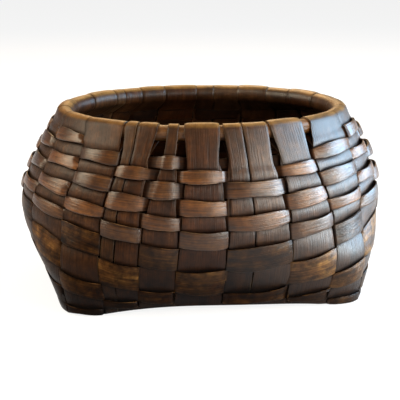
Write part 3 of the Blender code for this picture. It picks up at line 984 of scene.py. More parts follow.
@dataclass(frozen=True)
class SplintFinish:
    """Old split hardwood under a worn dark varnish, with its grain along the strip.

    The grain runs in fine ridges a millimetre or so apart, the varnish has gone nearly black
    in the hollows and near the base, and hands have rubbed the rim back to the honey colour
    of the wood. Painted shade darkens the hollows, the base, the edges and the inside, and
    painted highlights lighten the rim top and the edges. Real pores are about 0.3 mm wide,
    too fine to show, so they are drawn 1 mm wide. The other sizes are those of the real
    marks, in metres.
    """

    GRAIN_HEIGHT = 0.0009
    VARNISH_IOR = 1.5
    PLAN_SCALE = (0.7, 1.0, 0.0)        # evens out the long plan, to tell inside from outside

    name: str
    dark: str
    middle: str
    light: str
    pore: str
    edge: str
    roughness: float
    rough_spread: float
    coat: float
    coat_roughness: float = 0.28
    dull_gloss: float = 1.0
    specular: float = 0.25
    contrast: float = 0.30
    grain_width: float = 0.0010
    grain_length: float = 0.035
    streak_width: float = 0.0050
    streak_length: float = 0.060
    blotch: float = 0.016
    reach: float = 0.18
    mottle: float = 0.0045
    mottle_depth: float = 0.28
    pore_width: float = 0.0010
    pore_length: float = 0.0090
    pore_share: float = 0.55
    bump: float = 0.45
    rim_wear_and_highlight: float = 0.80
    blotch_share: float = 0.55
    streak_height: float = 0.8
    left_dirt: float = 0.30
    dirt_roughness: float = 0.4
    noise_roughness: float = 0.6

    def make(self) -> bpy.types.Material:
        """Build the material.

        Returns:
            The material.
        """
        material = bpy.data.materials.new(self.name)
        material.use_nodes = True
        tree = material.node_tree
        tree.nodes.clear()
        strip = add_node(tree, "ShaderNodeUVMap", uv_map="UVMap")
        place = add_node(tree, "ShaderNodeTexCoord").outputs["Object"]
        x, _, z = add_node(tree, "ShaderNodeSeparateXYZ", {0: place}).outputs
        grime_and_shade = add_node(tree, "ShaderNodeAttribute", attribute_name="grime_and_shade").outputs["Fac"]
        grain = self._noise(tree, strip, (self.grain_length, self.grain_width), 4.0)
        streak = self._noise(tree, strip, (self.streak_length, self.streak_width), 3.0)
        blotch = self._noise(tree, place, (self.blotch,) * 3, 4.0)
        colour = self._wood(tree, place, grain, streak, blotch)
        for code, blend, ramps in self._layers(tree, strip, place, grain, blotch, grime_and_shade):
            colour = add_node(tree, "ShaderNodeMix",
                              {0: self._strength(tree, ramps), 6: colour,
                               7: linear_colour(code)}, data_type="RGBA", blend_type=blend)
        # The varnish is gone near the floor, more so at the left, and where the dirt and painted
        # shade mask lies on it.
        kept = add_node(tree, "ShaderNodeMath", {0: x, 1: self.left_dirt, 2: z},
                        operation="MULTIPLY_ADD")
        varnish = self._strength(tree, [(kept, (0.010, 0.075), (0.0, self.coat), EASED),
                                        (grime_and_shade, (0.0, 1.0), (1.0, 0.0), EVEN),
                                        (x, (-0.01, 0.045), (self.dull_gloss, 1.0), EASED)])
        spread = (self.roughness - self.rough_spread, self.roughness + self.rough_spread)
        rough = add_node(tree, "ShaderNodeMath",
                         {0: grime_and_shade, 1: self.dirt_roughness,
                          2: self._strength(tree, [(grain, (0.3, 0.7), spread, EVEN)])},
                         operation="MULTIPLY_ADD", use_clamp=True)
        height = add_node(tree, "ShaderNodeMath", {0: streak, 1: self.streak_height, 2: grain},
                          operation="MULTIPLY_ADD")
        bump = add_node(tree, "ShaderNodeBump", {"Strength": self.bump,
                                                 "Distance": self.GRAIN_HEIGHT,
                                                 "Height": height})
        shader = add_node(tree, "ShaderNodeBsdfPrincipled",
                          {"Base Color": colour, "Roughness": rough, "Normal": bump,
                           "IOR": self.VARNISH_IOR, "Specular IOR Level": self.specular,
                           "Coat Weight": varnish, "Coat Roughness": self.coat_roughness,
                           "Coat IOR": self.VARNISH_IOR, "Coat Normal": bump})
        add_node(tree, "ShaderNodeOutputMaterial", {"Surface": shader})
        return material

    def _noise(self, tree: bpy.types.NodeTree, coordinates: object, sizes: Sequence[float],
               detail: float) -> bpy.types.NodeSocket:
        """Noise with marks of given sizes.

        Args:
            tree: Tree of the material.
            coordinates: Where it is read.
            sizes: Sizes of its marks along each axis.
            detail: How many finer layers it has.

        Returns:
            The socket that gives it.
        """
        scales = [1 / size for size in sizes] + [1.0] * (3 - len(sizes))
        mapped = add_node(tree, "ShaderNodeMapping", {"Vector": coordinates, "Scale": scales})
        return add_node(tree, "ShaderNodeTexNoise",
                        {"Vector": mapped, "Scale": 1.0, "Detail": detail,
                         "Roughness": self.noise_roughness}).outputs[0]

    @staticmethod
    def _strength(tree: bpy.types.NodeTree, ramps: Iterable[tuple]) -> bpy.types.Node:
        """Multiply ramps.

        Args:
            tree: Tree of the material.
            ramps: For each what it reads, the two ends that it reads between, the values
                that it gives there, and how it goes from one to the other.

        Returns:
            The node that gives their product.
        """
        product = None
        for source, (start, end), (first, last), way in ramps:
            ramp = add_node(tree, "ShaderNodeMapRange",
                            {"Value": source, "From Min": start, "From Max": end,
                             "To Min": first, "To Max": last}, interpolation_type=way)
            product = ramp if product is None else add_node(
                tree, "ShaderNodeMath", {0: product, 1: ramp}, operation="MULTIPLY",
                use_clamp=True)
        return product

    def _wood(self, tree: bpy.types.NodeTree, place: bpy.types.NodeSocket,
              grain: bpy.types.NodeSocket, streak: bpy.types.NodeSocket,
              blotch: bpy.types.NodeSocket) -> bpy.types.Node:
        """Colour of the varnished wood, streaked along the strip and toned strip by strip.

        Args:
            tree: Tree of the material.
            place: Place on the object.
            grain: Fine noise along the strip.
            streak: Broad noise along the strip.
            blotch: Noise that is as wide as it is long.

        Returns:
            The node that gives the colour.
        """
        blend = add_node(tree, "ShaderNodeMix", {0: self.blotch_share, 2: streak, 3: blotch})
        ramp = add_node(tree, "ShaderNodeValToRGB", {0: blend})
        stops = ramp.color_ramp.elements
        stops[0].position, stops[0].color = 0.5 - self.reach, linear_colour(self.dark)
        stops[1].position, stops[1].color = 0.5 + self.reach, linear_colour(self.light)
        stops.new(0.50).color = linear_colour(self.middle)
        lines = (1 - self.contrast, 1 + self.contrast)
        tint = add_node(tree, "ShaderNodeAttribute", attribute_name="tint").outputs["Color"]
        mottle = self._noise(tree, place, (self.mottle,) * 3, 5.0)
        spots = (1 - self.mottle_depth, 1 + self.mottle_depth)
        colour = ramp
        for tone in (self._strength(tree, [(grain, (0.35, 0.65), lines, EVEN)]), tint,
                     self._strength(tree, [(mottle, (0.36, 0.64), spots, EVEN)])):
            colour = add_node(tree, "ShaderNodeMix", {0: 1.0, 6: colour, 7: tone},
                              data_type="RGBA", blend_type="MULTIPLY")
        return colour

    def _layers(self, tree: bpy.types.NodeTree, strip: bpy.types.Node,
                place: bpy.types.NodeSocket, grain: bpy.types.NodeSocket,
                blotch: bpy.types.NodeSocket, grime_and_shade: bpy.types.NodeSocket
                ) -> list[tuple[str, str, list[tuple]]]:
        """Pores, dirt, wear, painted shade and highlights, each a colour, a blend and ramps of
        where.

        Args:
            tree: Tree of the material.
            strip: Place on the strip.
            place: Place on the object.
            grain: Fine noise along the strip.
            blotch: Noise that is as wide as it is long.
            grime_and_shade: The dirt and painted shade kept on the mesh.

        Returns:
            The layers, in the order they are laid on.
        """
        pores = self._noise(tree, strip, (self.pore_length, self.pore_width), 1.0)
        x, _, z = add_node(tree, "ShaderNodeSeparateXYZ", {0: place}).outputs
        edge = add_node(tree, "ShaderNodeAttribute",
                        attribute_name="edge_distance").outputs["Fac"]
        plan = add_node(tree, "ShaderNodeVectorMath", {0: place, 1: self.PLAN_SCALE},
                        operation="MULTIPLY")
        out = add_node(tree, "ShaderNodeVectorMath", {0: plan}, operation="NORMALIZE")
        facing = add_node(tree, "ShaderNodeNewGeometry").outputs["Normal"]
        outward = add_node(tree, "ShaderNodeVectorMath", {0: out, 1: facing},
                           operation="DOT_PRODUCT")
        return [
            # Pores of a ring-porous hardwood: short dark lines along the strip.
            (self.pore, "MIX", [(pores, (0.60, 0.72), (0.0, self.pore_share), EVEN)]),
            # Dirt and painted shade towards the base, in patches; less at the right, painted as
            # lit.
            ("#4a3a28", "MULTIPLY", [(z, (0.090, 0.008), (0.0, 0.97), EASED),
                                     (blotch, (0.35, 0.65), (0.7, 1.2), EVEN),
                                     (x, (0.02, 0.13), (1.0, 0.55), EASED)]),
            # Painted shade on the inside, darker the more a face turns inwards.
            ("#5a4f46", "MULTIPLY", [(outward, (0.1, -0.4), (0.0, 0.15), EASED)]),
            # Honey wood where hands rubbed the rim top, with a painted highlight along it.
            ("#8c6634", "MIX", [(z, (0.1488, 0.1514), (0.0, self.rim_wear_and_highlight), EASED),
                                (blotch, (0.35, 0.60), (0.35, 1.0), EVEN)]),
            # Painted shade along the edges of the strip, 1.6 mm in, where it turns away.
            ("#6b5c4c", "MULTIPLY", [(edge, (0.0, 0.0016), (0.45, 0.0), EASED)]),
            # Varnish rubbed off the last 0.8 mm here and there, and a painted highlight on it.
            (self.edge, "MIX", [(edge, (0.0, 0.0008), (0.40, 0.0), EVEN),
                                (grain, (0.50, 0.66), (0.0, 1.0), EVEN)]),
            # Dirt and painted shade where one splint lies against or under another.
            ("#5a4a3a", "MULTIPLY", [(grime_and_shade, (0.0, 1.0), (0.0, 0.85), EVEN)])]


@dataclass
class UprightSplints:
    """The uprights: up one side, across the base, up the other and over the rod."""

    plan: WeavePlan
    maker: SplintMaker
    material: bpy.types.Material
    width_rise: float = 0.45
    across_spacing: float = 0.0035
    bend: float = 0.0015
    bend_share: float = 0.6
    bend_steps: int = 7
    wrap_steps: int = 14
    wrap_spread: float = 0.0006
    wrap_crown: float = 0.7
    wrap_swell: float = 0.7
    tail_rise: float = 0.85
    tail_end: float = 0.0025
    tail_taper: float = 0.10
    tail_skew: float = 0.0012
    tail_settled: float = 0.35
    base_stride: float = 1.4
    tail_shifts: dict[tuple[int, bool], float] = field(default_factory=lambda: {
        (0, False): 0.0016, (1, True): 0.0022, (2, False): 0.0024, (3, False): 0.0030,
        (4, False): -0.0022, (4, True): 0.0024, (5, False): -0.0026, (6, False): -0.0018})
    station: float = 0.0018
    tints: dict[str, str] = field(default_factory=lambda: {
        "1": "#cfc2b2", "2a": "#cfccc4", "2b": "#c2ae98", "3": "#b9a898", "4": "#b69c84",
        "5a": "#bcaea0", "5b": "#d2ccc4", "6": "#c2bab0", "7": "#aaa49c"})
    cross_tones: tuple[str, ...] = ("6", "6", "1", "4")

    def build(self) -> Pieces:
        """Build all uprights.

        Returns:
            Each piece with the name of the solid it replaces.
        """
        return [*self._front_to_back(), *self._end_to_end()]

    def _front_to_back(self) -> Pieces:
        """Splints that run up the front, across the base and up the back.

        Returns:
            Each piece with the name of the solid it replaces.
        """
        plan, pieces = self.plan, []
        for column in range(plan.front_count):
            fronts = plan.uprights_at(column)
            backs = plan.uprights_at(plan.back_last - column)[::-1]
            for index, (front, back) in enumerate(zip(fronts, backs)):
                key = f"{column + 1}" + ("ab"[index] if len(fronts) > 1 else "")
                spans = plan.base_spans(plan.front_count, plan.end_count, 1)
                signs = [-1 if (column + line) % 2 == 0 else 1 for line, *_ in spans]
                item = self._lay(f"standing_splint_{key}", front, back, spans, signs, key)
                pieces.append((item, f"short_upright_{key}"))
        return pieces

    def _end_to_end(self) -> Pieces:
        """Splints that run up the left end, across the base and up the right end.

        Returns:
            Each piece with the name of the solid it replaces.
        """
        plan, pieces = self.plan, []
        for line in range(plan.end_count):
            right = Upright(plan.front_count + line)
            left = Upright(plan.place_count - 1 - line)
            spans = plan.base_spans(0, plan.front_count, 0)
            signs = [1 if (column + line) % 2 == 0 else -1 for column, *_ in spans]
            item = self._lay(f"cross_splint_{line + 1}", left, right, spans, signs,
                             self.cross_tones[line])
            pieces.append((item, f"long_upright_{line + 1}"))
        return pieces

    def _lay(self, name: str, start: Upright, end: Upright, spans: Spans, signs: list[int],
             tone: str) -> bpy.types.Object:
        """Lay one splint from the end of one tail to the end of the other.

        Args:
            name: Name of the piece.
            start: Its end at the front or left.
            end: Its end at the back or right.
            spans: The splints it crosses in the base.
            signs: 1 where it passes below one of them, and -1 where above.
            tone: Key of its tint.

        Returns:
            The finished object.
        """
        rise = np.array([self.width_rise])
        turns = self.plan.upright_turns(end, rise)
        width = float((turns[1] - turns[0])[0] * self.plan.form.girth(rise)[0])
        shares = Ribbon.shares(width, max(4, round(width / self.across_spacing)))
        first = self._standing_end(start, shares, spans)
        last = self._standing_end(end, shares, spans)
        if self.plan.side_of(end.place) is Side.BACK:
            last = last.mirrored()
        else:
            first = first.mirrored()
        base = self._base(first, last, self.plan.side_of(end.place).value[0], spans, signs)
        ribbon = Ribbon.join([first.reversed(), base, last])
        return self.maker.make(name, ribbon, self.tints[tone], self.material)

    def _standing_end(self, upright: Upright, shares: np.ndarray, spans: Spans) -> Ribbon:
        """One end of a splint, from the base edge over the rod to the end of its tail."""
        tail = self._tail(upright, shares)
        return Ribbon.join([self._foot(upright, shares, spans), self._wall(upright, shares),
                            self._wrap(upright, shares, tail.middle[0]), tail])

    def _turns(self, upright: Upright, rise: np.ndarray, shares: np.ndarray) -> np.ndarray:
        """Turns of the points across an upright at rises."""
        left, right = self.plan.upright_turns(upright, rise)
        return left[:, None] + (right - left)[:, None] * shares[None, :]

    def _foot(self, upright: Upright, shares: np.ndarray, spans: Spans) -> Ribbon:
        """The bend from the base up into the wall.

        Args:
            upright: The upright.
            shares: Places across it.
            spans: The splints it crosses in the base, which the bend keeps clear of.

        Returns:
            Its ribbon, from inside the base edge to just below where the wall part begins.
        """
        form = self.plan.form
        axis, direction = self.plan.side_of(upright.place).value
        outermost = spans[-1][2] if direction > 0 else spans[0][1]
        turns = self._turns(upright, np.zeros(1), shares)[0]
        corner = form.point(turns, np.zeros_like(turns))[0]
        room = (corner[:, axis] - outermost) * direction
        start = corner.copy()
        start[:, axis] -= direction * np.minimum(self.bend, room * self.bend_share)
        start[:, 2] = form.foot + form.arch(start[:, 0], start[:, 1])
        corner[:, 2] = form.foot + form.arch(corner[:, 0], corner[:, 1])
        rise = np.full_like(turns, self.bend / form.wall_length)
        end, normal = form.point(turns, rise)
        middle, outward = [], []
        for share in np.linspace(0.0, 1.0, self.bend_steps)[:-1]:
            middle.append((1 - share) ** 2 * start + 2 * share * (1 - share) * corner
                          + share ** 2 * end)
            outward.append(unit((1 - share) * -UP + share * normal))
        return Ribbon(np.stack(middle), np.stack(outward))

    def _wall(self, upright: Upright, shares: np.ndarray) -> Ribbon:
        """The part of an upright that stands in the wall.

        Args:
            upright: The upright.
            shares: Places across it.

        Returns:
            Its ribbon.
        """
        length = self.plan.form.wall_length
        count = round(length / self.station)
        rise = np.linspace(self.bend / length, 1.0, count)[:-1]
        turns = self._turns(upright, rise, shares)
        level = self.plan.upright_level(upright.place, turns, rise[:, None])
        grime_and_shade = self.plan.upright_grime_and_shade(upright.place, turns, rise[:, None])
        return Ribbon(*self.plan.form.point(turns, rise[:, None], level), grime_and_shade)

    def _wrap(self, upright: Upright, shares: np.ndarray, tail_start: np.ndarray) -> Ribbon:
        """The fold over the rod, down to where the tail leaves it.

        Args:
            upright: The upright.
            shares: Places across it.
            tail_start: Points where the tail begins.

        Returns:
            Its ribbon, which lies on the rod or a little loose of it.
        """
        form = self.plan.form
        turns = self._turns(upright, np.ones(1), shares)[0]
        middle, outward = form.rod_middle(turns)
        away = tail_start - middle
        across = (away * outward).sum(axis=1)
        distance = np.hypot(across, away[:, 2])
        last = (np.arctan2(away[:, 2], across) % math.tau
                - np.arccos(form.wrap_radius / distance))
        # A sine of the place makes each fold more or less loose than its neighbours.
        loose = self.wrap_spread * (1 + math.sin(2.7 * upright.place + upright.first_share))
        crown = 1 - self.wrap_crown * (2 * shares[:, None] - 1) ** 4
        rows, directions = [], []
        for share in np.linspace(0.0, 1.0, self.wrap_steps):
            angle = (form.rim_lean + (last - form.rim_lean) * share)[:, None]
            radial = np.cos(angle) * outward + np.sin(angle) * UP
            lift = loose * math.sin(math.pi * share) ** self.wrap_swell * crown
            rows.append(middle + (form.wrap_radius + lift) * radial)
            directions.append(radial)
        return Ribbon(np.stack(rows), np.stack(directions))

    def _tail(self, upright: Upright, shares: np.ndarray) -> Ribbon:
        """The tail tucked down inside the wall, a little tapered and askew.

        Args:
            upright: The upright.
            shares: Places across it.

        Returns:
            Its ribbon, facing inwards.
        """
        plan, form = self.plan, self.plan.form
        last = plan.last_tail_row(upright.place)
        middle_turn = self._turns(upright, np.array([self.tail_rise]), np.array([0.5]))[0]
        top = float(plan.row_rise(1, 1, middle_turn)[0])
        end = float(plan.row_rise(last, 0, middle_turn)[0]) - self.tail_end / form.wall_length
        rise = np.linspace(top, end, round((top - end) * form.wall_length / self.station))
        way = np.linspace(0.0, 1.0, len(rise))
        taper = (0.5 + (shares[None, :] - 0.5) * (1 - 2 * self.tail_taper * way[:, None]))
        left, right = plan.upright_turns(upright, rise)
        turns = left[:, None] + (right - left)[:, None] * taper
        # A sine of the place sets each tail askew by an amount of its own.
        skew = math.sin(2.4 * upright.place + 1.0) * self.tail_skew * way
        shift = self.tail_shifts.get((upright.place, upright.first_share > 0), 0.0)
        skew = skew + shift * smooth_step(way, 0.0, self.tail_settled)
        turns = turns + (skew / form.girth(rise))[:, None]
        level = plan.upright_level(upright.place, turns, rise[:, None]) - plan.contact
        middle, normal = form.point(turns, rise[:, None], level)
        return Ribbon(middle, -normal)

    def _base(self, first: Ribbon, last: Ribbon, axis: int, spans: Spans,
              signs: list[int]) -> Ribbon:
        """The part of a splint that lies in the base, over and under those it crosses.

        Args:
            first: Its standing end at the front or left, from the base edge up.
            last: Its other standing end.
            axis: Plan axis that it runs along.
            spans: The splints it crosses.
            signs: 1 where it passes below one of them, and -1 where above.

        Returns:
            Its ribbon, facing down.
        """
        plan, form = self.plan, self.plan.form
        start, end = first.middle[0], last.middle[0]
        count = round(abs(end[0, axis] - start[0, axis]) / (self.base_stride * self.station))
        way = np.linspace(0.0, 1.0, count)[1:-1, None, None]
        middle = start + (end - start) * way
        place = middle[..., axis]
        levels = [sign * plan.base_level for sign in signs]
        level = np.zeros_like(place)
        before = (place.min(), 0.0)
        for (_, low, high), value in zip(spans, levels):
            low, high = min(low, high), max(low, high)
            gap = smooth_step(place, before[0], low)
            level = np.where(place >= before[0], before[1] + (value - before[1]) * gap, level)
            level = np.where(place >= low, value, level)
            before = (high, value)
        gap = smooth_step(place, before[0], place.max())
        level = np.where(place >= before[0], before[1] * (1 - gap), level)
        middle[..., 2] = form.foot + form.arch(middle[..., 0], middle[..., 1]) - level
        return Ribbon(middle, np.broadcast_to(-UP, middle.shape).copy())


@dataclass
class WeaverSplints:
    """The rows of weaving, each one splint whose end laps outside its beginning."""

    plan: WeavePlan
    maker: SplintMaker
    material: bpy.types.Material
    low_material: bpy.types.Material
    first_low_row: int = 7
    lap_places: int = 3
    start_back: int = 3
    start_stride: int = 5
    over_steps: int = 12
    gap_steps: int = 6
    across_steps: int = 4
    crown_middle: float = 0.4
    grime_and_shade_depths: tuple[float, float] = (-0.0015, 0.0002)
    pinch_span: tuple[float, float] = (0.82, 1.03)
    tints: tuple[str, ...] = ("#e2cdb4", "#c6b09a", "#f4dabc", "#b8a490", "#eed4b4", "#e0c8ac",
                              "#bcaa94", "#8e7e6a", "#f6e8d2", "#dccdb8", "#968672",
                              "#8c7c6a")

    def build(self) -> Pieces:
        """Build the full rows and the short ones.

        Returns:
            Each piece with the name of the solid it replaces.
        """
        plan, pieces = self.plan, []
        for row in range(1, plan.last_row + 1):
            # Each row begins further round than the last, so that neighbours lap apart.
            first = plan.back_last - self.start_back + self.start_stride * row
            if plan.outside(row, first):
                first += 1
            step = plan.contact
            shifts = {0: -step, 2: -step, plan.place_count + 1: step}
            item = self._lay(f"weaving_splint_{row}", row, first,
                             plan.place_count + self.lap_places, shifts)
            pieces.append((item, f"weaver_row_{row}"))
        return pieces + self._fillers()

    def _fillers(self) -> Pieces:
        """The short rows: under the rim with its two laps, low round the ends, and at corners.

        Returns:
            Each piece with the name of the solid it replaces.
        """
        plan, step = self.plan, self.plan.contact
        first = plan.front_count - 1
        count = plan.place_count - first + 1
        shifts = {0: -step, 2: -step, count - 3: -step, count - 1: -step}
        pieces = [(self._lay("rim_filler_splint", 0, first, count, shifts), "filler_weaver")]
        for side, start in (("right", first), ("left", plan.place_count - self.lap_places + 1)):
            item = self._lay(f"rim_filler_lap_{side}", 0, start, self.lap_places, {1: step})
            pieces.append((item, f"filler_lap_{side}"))
        for name, row, starts, places in (
                ("low", plan.last_row + 1, plan.low_starts, plan.low_places),
                ("corner", plan.last_row + 2, plan.corner_starts, plan.corner_places)):
            for side, start in starts.items():
                item = self._lay(f"{name}_end_splint_{side}", row, start, places, {})
                pieces.append((item, f"{name}_filler_{side}"))
        return pieces

    def _lay(self, name: str, row: int, first: int, count: int, shifts: dict[int, float]
             ) -> bpy.types.Object:
        """Lay one weaver past a number of uprights; both ends are hidden behind one.

        Args:
            name: Name of the piece.
            row: Its row.
            first: The place where it begins.
            count: How many places it passes.
            shifts: Extra level at some of these places, by their order.

        Returns:
            The finished object.
        """
        plan, form = self.plan, self.plan.form
        turns = self._stations(row, first, count)
        low, high = plan.row_rise(row, 0, turns), plan.row_rise(row, 1, turns)
        height = float(np.mean(high - low)) * form.wall_length
        inset = plan.end_narrowing / form.wall_length * self._narrowing(row, first, count, turns)
        low, high = low + inset, high - inset
        shares = Ribbon.shares(height, self.across_steps)
        rise = low[:, None] + (high - low)[:, None] * shares[None, :]
        turn = np.repeat(turns[:, None], len(shares), axis=1)
        level = self._level(row, first, count, shifts, turn, rise)
        level += plan.crown * (self.crown_middle - (2 * shares[None, :] - 1) ** 2)
        # Dirt and painted shade where the weaver lies deep, tucked behind an upright.
        grime_and_shade = smooth_step(-level, *self.grime_and_shade_depths)
        ribbon = Ribbon(*form.point(turn, rise, level), grime_and_shade)
        material = self.material if row < self.first_low_row else self.low_material
        return self.maker.make(name, ribbon, self.tints[row], material)

    def _stations(self, row: int, first: int, count: int) -> np.ndarray:
        """Turns of the rows of points along a weaver, closer together in the gaps.

        Args:
            row: Its row.
            first: The place where it begins.
            count: How many places it passes.

        Returns:
            The turns.
        """
        stations = []
        for index in range(count):
            left, right = self._edges(row, first + index)
            if index == 0:
                left = (left + right) / 2
            if index == count - 1:
                right = (left + right) / 2
            stations.append(np.linspace(left, right, self.over_steps))
            if index < count - 1:
                following = self._edges(row, first + index + 1)[0]
                stations.append(np.linspace(right, following, self.gap_steps + 2)[1:-1])
        return np.concatenate(stations)

    def _narrowing(self, row: int, first: int, count: int, turns: np.ndarray) -> np.ndarray:
        """How far a weaver is pinched, from 0 at the middle of an upright to 1 at the gaps.

        Args:
            row: Its row.
            first: The place where it begins.
            count: How many places it passes.
            turns: Turns of its rows of points.

        Returns:
            The pinch at each of them.
        """
        pinch = np.ones_like(turns)
        for index in range(count):
            place = first + index
            left, right = self._edges(row, place)
            way = np.abs(2 * (turns - left) / (right - left) - 1)
            share = smooth_step(way, *self.pinch_span)
            if self.plan.side_of(place % self.plan.place_count) is Side.BACK:
                share = np.zeros_like(share)
            pinch = np.where(way <= 1.0, share, pinch)
        return pinch

    def _edges(self, row: int, place: int) -> tuple[float, float]:
        """Turns of an upright's edges at the middle of a row.

        Args:
            row: The row.
            place: The place.

        Returns:
            Turns of the left and of the right edge.
        """
        plan = self.plan
        turn = plan.upright_turns(Upright(place), np.array([0.0]))[0]
        rise = (plan.row_rise(row, 0, turn) + plan.row_rise(row, 1, turn)) / 2
        left, right = plan.upright_turns(Upright(place), rise)
        return float(left[0]), float(right[0])

    def _level(self, row: int, first: int, count: int, shifts: dict[int, float],
               turn: np.ndarray, rise: np.ndarray) -> np.ndarray:
        """Levels of the points of a weaver, bowed past each upright.

        Args:
            row: Its row.
            first: The place where it begins.
            count: How many places it passes.
            shifts: Extra level at some of these places, by their order.
            turn: Turns of the points.
            rise: Rises of the points.

        Returns:
            Their levels, eased from one upright to the next.
        """
        plan = self.plan
        level = np.zeros_like(turn)
        before = None
        for index in range(count):
            place = first + index
            left, right = plan.upright_turns(Upright(place), rise)
            value = plan.row_level(row, place) + shifts.get(index, 0.0)
            girth = plan.form.girth(rise)
            if value > 0:
                left, right = left - plan.overhang / girth, right + plan.overhang / girth
                bow = plan.bow_least + plan.bow_share * (right - left) * girth
                bow = bow * plan.bow_scale(row, place)
            else:
                bow = -plan.bow_in
            share = np.clip((turn - left) / (right - left), 0.0, 1.0)
            over = value + bow * (1 - np.abs(2 * share - 1) ** plan.bow_power)
            level = np.where(turn >= left, over, level)
            if before is not None:
                end, last = before
                gap = (turn >= end) & (turn < left)
                way = smooth_step(turn, end, left)
                level = np.where(gap, last + (value - last) * way, level)
            else:
                level = np.where(turn < left, value, level)
            before = (right, value)
        return level


@dataclass
class RimHoop:
    """The round rod under the folds of the uprights, whittled a little uneven."""

    plan: WeavePlan
    material: bpy.types.Material
    radius: float = 0.0062
    unevenness: float = 0.04
    sides: int = 20
    points: int = 260
    seam_turn: float = -0.12
    seed: float = 3.0
    bumps_per_metre: float = 30.0
    from_edge: float = 0.01             # the rod has no edges, so it is marked far from one

    def build(self) -> Pieces:
        """Build the hoop.

        Returns:
            The piece with the name of the solid it replaces.
        """
        turns = self.seam_turn + np.arange(self.points) / self.points
        middle = self.plan.form.rod_middle(turns)[0]
        mesh = bpy.data.meshes.new("rim_hoop")
        edges = [(index, (index + 1) % self.points) for index in range(self.points)]
        mesh.from_pydata(middle, edges, [])
        item = add_object("rim_hoop", mesh)
        values = {"Radius": self.radius, "Unevenness": self.unevenness, "Sides": self.sides,
                  "Seed": self.seed, "Material": self.material}
        run_tree(item, self._tree(), values)
        return [(item, "rim_rod")]

    def _tree(self) -> bpy.types.NodeTree:
        """Geometry Nodes tree that sweeps an uneven round along a closed path.

        Returns:
            The tree, whose own map runs along and round the rod in metres.
        """
        tree = new_shape_tree("hoop_along_path", {"Radius": "Float", "Unevenness": "Float",
                                                  "Seed": "Float", "Sides": "Int"})
        given = add_node(tree, "NodeGroupInput").outputs
        path = add_node(tree, "GeometryNodeMeshToCurve", {"Mesh": given["Geometry"]})
        place = add_node(tree, "GeometryNodeInputPosition")
        noise = add_node(tree, "ShaderNodeTexNoise",
                         {"Vector": place, "W": given["Seed"],
                          "Scale": self.bumps_per_metre, "Detail": 1.0},
                         noise_dimensions="4D")
        sway = add_node(tree, "ShaderNodeMath", {0: noise, 1: 0.5}, operation="SUBTRACT")
        scale = add_node(tree, "ShaderNodeMath", {0: sway, 1: given["Unevenness"], 2: 1.0},
                         operation="MULTIPLY_ADD")
        sized = add_node(tree, "GeometryNodeSetCurveRadius", {"Curve": path, "Radius": scale})
        circle = add_node(tree, "GeometryNodeCurvePrimitiveCircle",
                          {"Resolution": given["Sides"], "Radius": given["Radius"]})
        length = add_node(tree, "GeometryNodeSplineParameter").outputs["Length"]
        kept = []
        for curve in (sized, circle):
            node = add_node(tree, "GeometryNodeCaptureAttribute")
            node.capture_items.new("FLOAT", "Length")
            tree.links.new(curve.outputs[0], node.inputs[0])
            tree.links.new(length, node.inputs[1])
            kept.append(node.outputs)
        radius = add_node(tree, "GeometryNodeInputRadius")
        shape = add_node(tree, "GeometryNodeCurveToMesh",
                         {"Curve": kept[0][0], "Profile Curve": kept[1][0], "Scale": radius})
        spread = add_node(tree, "ShaderNodeCombineXYZ", {0: kept[0][1], 1: kept[1][1]})
        for name, value, kind, domain in (
                ("UVMap", spread, "FLOAT2", "CORNER"),
                ("tint", (1.0, 1.0, 1.0, 1.0), "FLOAT_COLOR", "POINT"),
                ("edge_distance", self.from_edge, "FLOAT", "POINT")):
            shape = add_node(tree, "GeometryNodeStoreNamedAttribute",
                             {"Geometry": shape, "Name": name, "Value": value},
                             data_type=kind, domain=domain)
        end_shape_tree(tree, shape, given["Material"])
        return tree


@dataclass(frozen=True)
class Lamp:
    """A square soft light: its place, what it points at, its side, watts and colour."""

    name: str
    place: tuple[float, float, float]
    target: tuple[float, float, float]
    size: float
    watts: float
    colour: str


